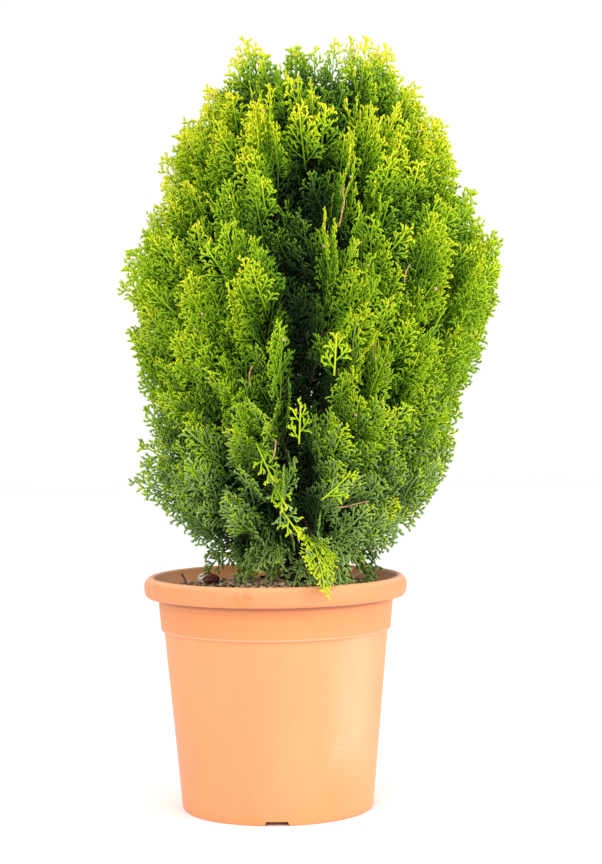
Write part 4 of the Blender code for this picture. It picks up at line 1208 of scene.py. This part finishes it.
def sprigs(table, shift, rng):
    """Single sprays from a table of tips, lengths and leans."""
    tips = np.array([row[0] for row in table])
    lengths = np.array([row[1] for row in table])[:, None]
    leans = np.radians([row[2] for row in table])
    headings = np.stack([np.sin(leans), 0.1 * np.cos(leans), np.cos(leans)], axis=1)
    count = len(table)
    normals = unit(np.array([0.0, -1.0, 0.0]) + rng.normal(0, 0.25, (count, 3)))
    bow = np.array([0.0, 0.0, 0.12]) * lengths
    return Shoots(tips - headings * lengths, headings * lengths - bow, bow, normals, np.full(count, 0.65),
                  np.full(count, 0.65), shift + np.abs(rng.normal(0, 0.01, count)))


def build_foliage():
    rng = np.random.default_rng(SEED)
    material = foliage_material()
    names = sorted(name for name in frame["nodes"] if name.startswith("frond_"))
    shapes = {name: frond_shape(name) for name in names}
    fans = {name: [shape] for name, shape in shapes.items()}
    for fan in filler_fans(rng) + inner_fans(rng):
        near = min((name for name in names if name != "frond_drooping"),
                   key=lambda name: np.linalg.norm(shapes[name][2] - fan[2]))
        fans[near].append(fan)
    axes = []
    sprays = []
    for name in names:
        grow = hanging_frond if name == "frond_drooping" else fan_sprays
        grown = [grow(fan, rng) for fan in fans[name]]
        axes += [axis for axis, _ in grown]
        sprays += [group for _, group in grown]
        obj = leafy(name + "_foliage", joined([sprays for _, sprays in grown]), rng, material)
        placed(obj, SLOTS[name], name)
    outer = outer_sprays(rng)
    for index in range(OUTER_PIECES):
        share = outer.chosen(slice(index, None, OUTER_PIECES))
        placed(leafy(f"outer_sprays_{index + 1}", share, rng, material), "foliage_bright")
    placed(leafy("outer_sprigs", sprigs(SPRIGS, 0.03, rng), rng, material), "foliage_golden")
    placed(leafy("sunlit_sprigs", sprigs(SUNLIT_SPRIGS, SUNNY_SHIFT - 0.02, rng), rng, material), "foliage_golden")
    return joined(axes), joined(sprays)


def build_cones(sprays):
    """Small dry cones on the outer sprays."""
    rng = np.random.default_rng(SEED + 5)
    share = rng.uniform(0.35, 0.9, len(sprays))
    places = sprays.at(share) + sprays.normal * 0.0012 * rng.choice([-1.0, 1.0], (len(sprays), 1))
    outer = np.where((exposure(places) > 0.72) & (crown_share(places[:, 2]) > 0.2))[0]
    chosen = rng.choice(outer, CONE_COUNT, replace=False)
    bm = bmesh.new()
    bmesh.ops.create_icosphere(bm, subdivisions=2, radius=1.0)
    ball = np.array([vertex.co[:] for vertex in bm.verts])
    faces = np.array([[vertex.index for vertex in face.verts] for face in bm.faces])
    bm.free()
    size = CONE_RADIUS * rng.uniform(0.75, 1.25, (len(chosen), 1, 1)) * rng.uniform(0.8, 1.25,
                                                                                   (len(chosen), 1, 3))
    shapes = ball[None] * size * (1 + rng.uniform(-0.22, 0.22, (len(chosen), len(ball), 1)))
    points = (shapes + places[chosen][:, None]).reshape(-1, 3)
    triangles = (faces[None] + (np.arange(len(chosen)) * len(ball))[:, None, None]).reshape(-1, 3)
    material = tinted_material("dry_cone", ((0.3, (0.42, 0.20, 0.14)), (0.7, (0.86, 0.56, 0.42))), 500.0, 0.0004)
    cones = mesh_object("dry_cones", points, np.zeros((0, 4), int), triangles, material)
    placed(cones, "foliage_golden")


def surface_point(x, z, side):
    """A place just inside the crown's outline, in front of its axis (-1) or behind it (1)."""
    centre = axis_at(z)
    radius = TWIG_EXPOSURE * outline_radius(crown_share(z))
    depth = math.sqrt(radius ** 2 - (x - centre[0]) ** 2)
    return np.array([x, centre[1] + side * CROWN_DEPTH * depth, z])


def build_bare_twigs():
    """Tan stretches of twig that show in the outer foliage."""
    pieces = []
    for index, (low, high, radius, side) in enumerate(BARE_TWIGS):
        share = np.linspace(0, 1, 14)[:, None]
        bow = np.sin(share * math.pi) * np.array([0.0015, -0.0010, 0.0]) * (-1) ** index
        line = surface_point(*low, side) * (1 - share) + surface_point(*high, side) * share + bow
        line = uneven(line, 90.0, 0.0012)
        vertices, quads, triangles = tube_arrays(line, np.full(14, radius), 8, 0.35, index * 3.0)
        pieces.append((vertices, quads, triangles, np.zeros((len(vertices), 2))))
    vertices, quads, triangles, _ = stacked(pieces)
    material = tinted_material("bare_twig", ((0.3, (0.24, 0.110, 0.050)), (0.7, (0.66, 0.400, 0.230))), 400.0,
                               0.0005)
    placed(mesh_object("bare_twigs", vertices, quads, triangles, material), "bark")


def build_twigs(axes, material):
    """The woody axes of the fans."""
    rng = np.random.default_rng(SEED + 1)
    stations = (0, 0.10, 0.20, 0.30, 0.40, 0.50)
    widths = np.linspace(0.0016, 0.0008, len(stations))
    vertices, quads, triangles, _ = tubes(axes, stations, widths, widths, 0.0, rng)
    keep = triangles.reshape(len(axes), -1, 3)
    last = vertices.reshape(len(axes), -1, 3)
    last[:, -1] = last[:, -5:-1].mean(1)
    placed(mesh_object("twigs", last.reshape(-1, 3), quads, keep.reshape(-1, 3), material), "bark")


# ---------------------------------------------------------------- stage

def build_camera():
    data = bpy.data.cameras.new("camera")
    data.lens = CAMERA_LENS
    camera = bpy.data.objects.new("camera", data)
    bpy.context.scene.collection.objects.link(camera)
    aim = Matrix.Rotation(math.pi / 2 - CAMERA_PITCH, 4, "X") @ Matrix.Rotation(CAMERA_ROLL, 4, "Z")
    camera.matrix_world = Matrix.Translation((CAMERA_SIDE, -CAMERA_DISTANCE, CAMERA_HEIGHT)) @ aim
    bpy.context.scene.camera = camera


def build_light(name, place, aim, size, power):
    data = bpy.data.lights.new(name, "AREA")
    data.shape = "DISK"
    data.size = size
    data.energy = power
    light = bpy.data.objects.new(name, data)
    bpy.context.scene.collection.objects.link(light)
    light.location = place
    light.rotation_euler = (Vector(aim) - Vector(place)).to_track_quat("-Z", "Y").to_euler()


def build_stage():
    world = bpy.data.worlds.new("studio")
    bpy.context.scene.world = world
    world.use_nodes = True
    world.node_tree.nodes["Background"].inputs["Color"].default_value = (1.0, 1.0, 1.0, 1.0)
    world.node_tree.nodes["Background"].inputs["Strength"].default_value = 1.03
    build_light("key", (-0.9, -2.2, 2.1), (0, 0, 0.40), 1.8, 37)
    build_light("fill", (2.0, -1.2, 1.1), (0, 0, 0.25), 1.6, 35)
    shader = Shader("floor", 0.9, 0.1)
    shader.principled.inputs["Base Color"].default_value = (0.95, 0.95, 0.96, 1.0)
    mesh = bpy.data.meshes.new("floor")
    half = FLOOR_SIZE / 2
    mesh.from_pydata([(-half, -half, 0), (half, -half, 0), (half, half, 0), (-half, half, 0)], [],
                     [(0, 1, 2, 3)])
    mesh.materials.append(shader.material)
    floor = bpy.data.objects.new("floor", mesh)
    bpy.context.scene.collection.objects.link(floor)
    bpy.context.scene.view_settings.view_transform = "Standard"


def main():
    build_camera()
    build_stage()
    bark = bark_material()
    axes, sprays = build_foliage()
    build_cones(sprays)
    build_bare_twigs()
    build_twigs(axes, bark)
    build_stems(bark)
    build_pot()
    build_soil()
    build_litter()


main()
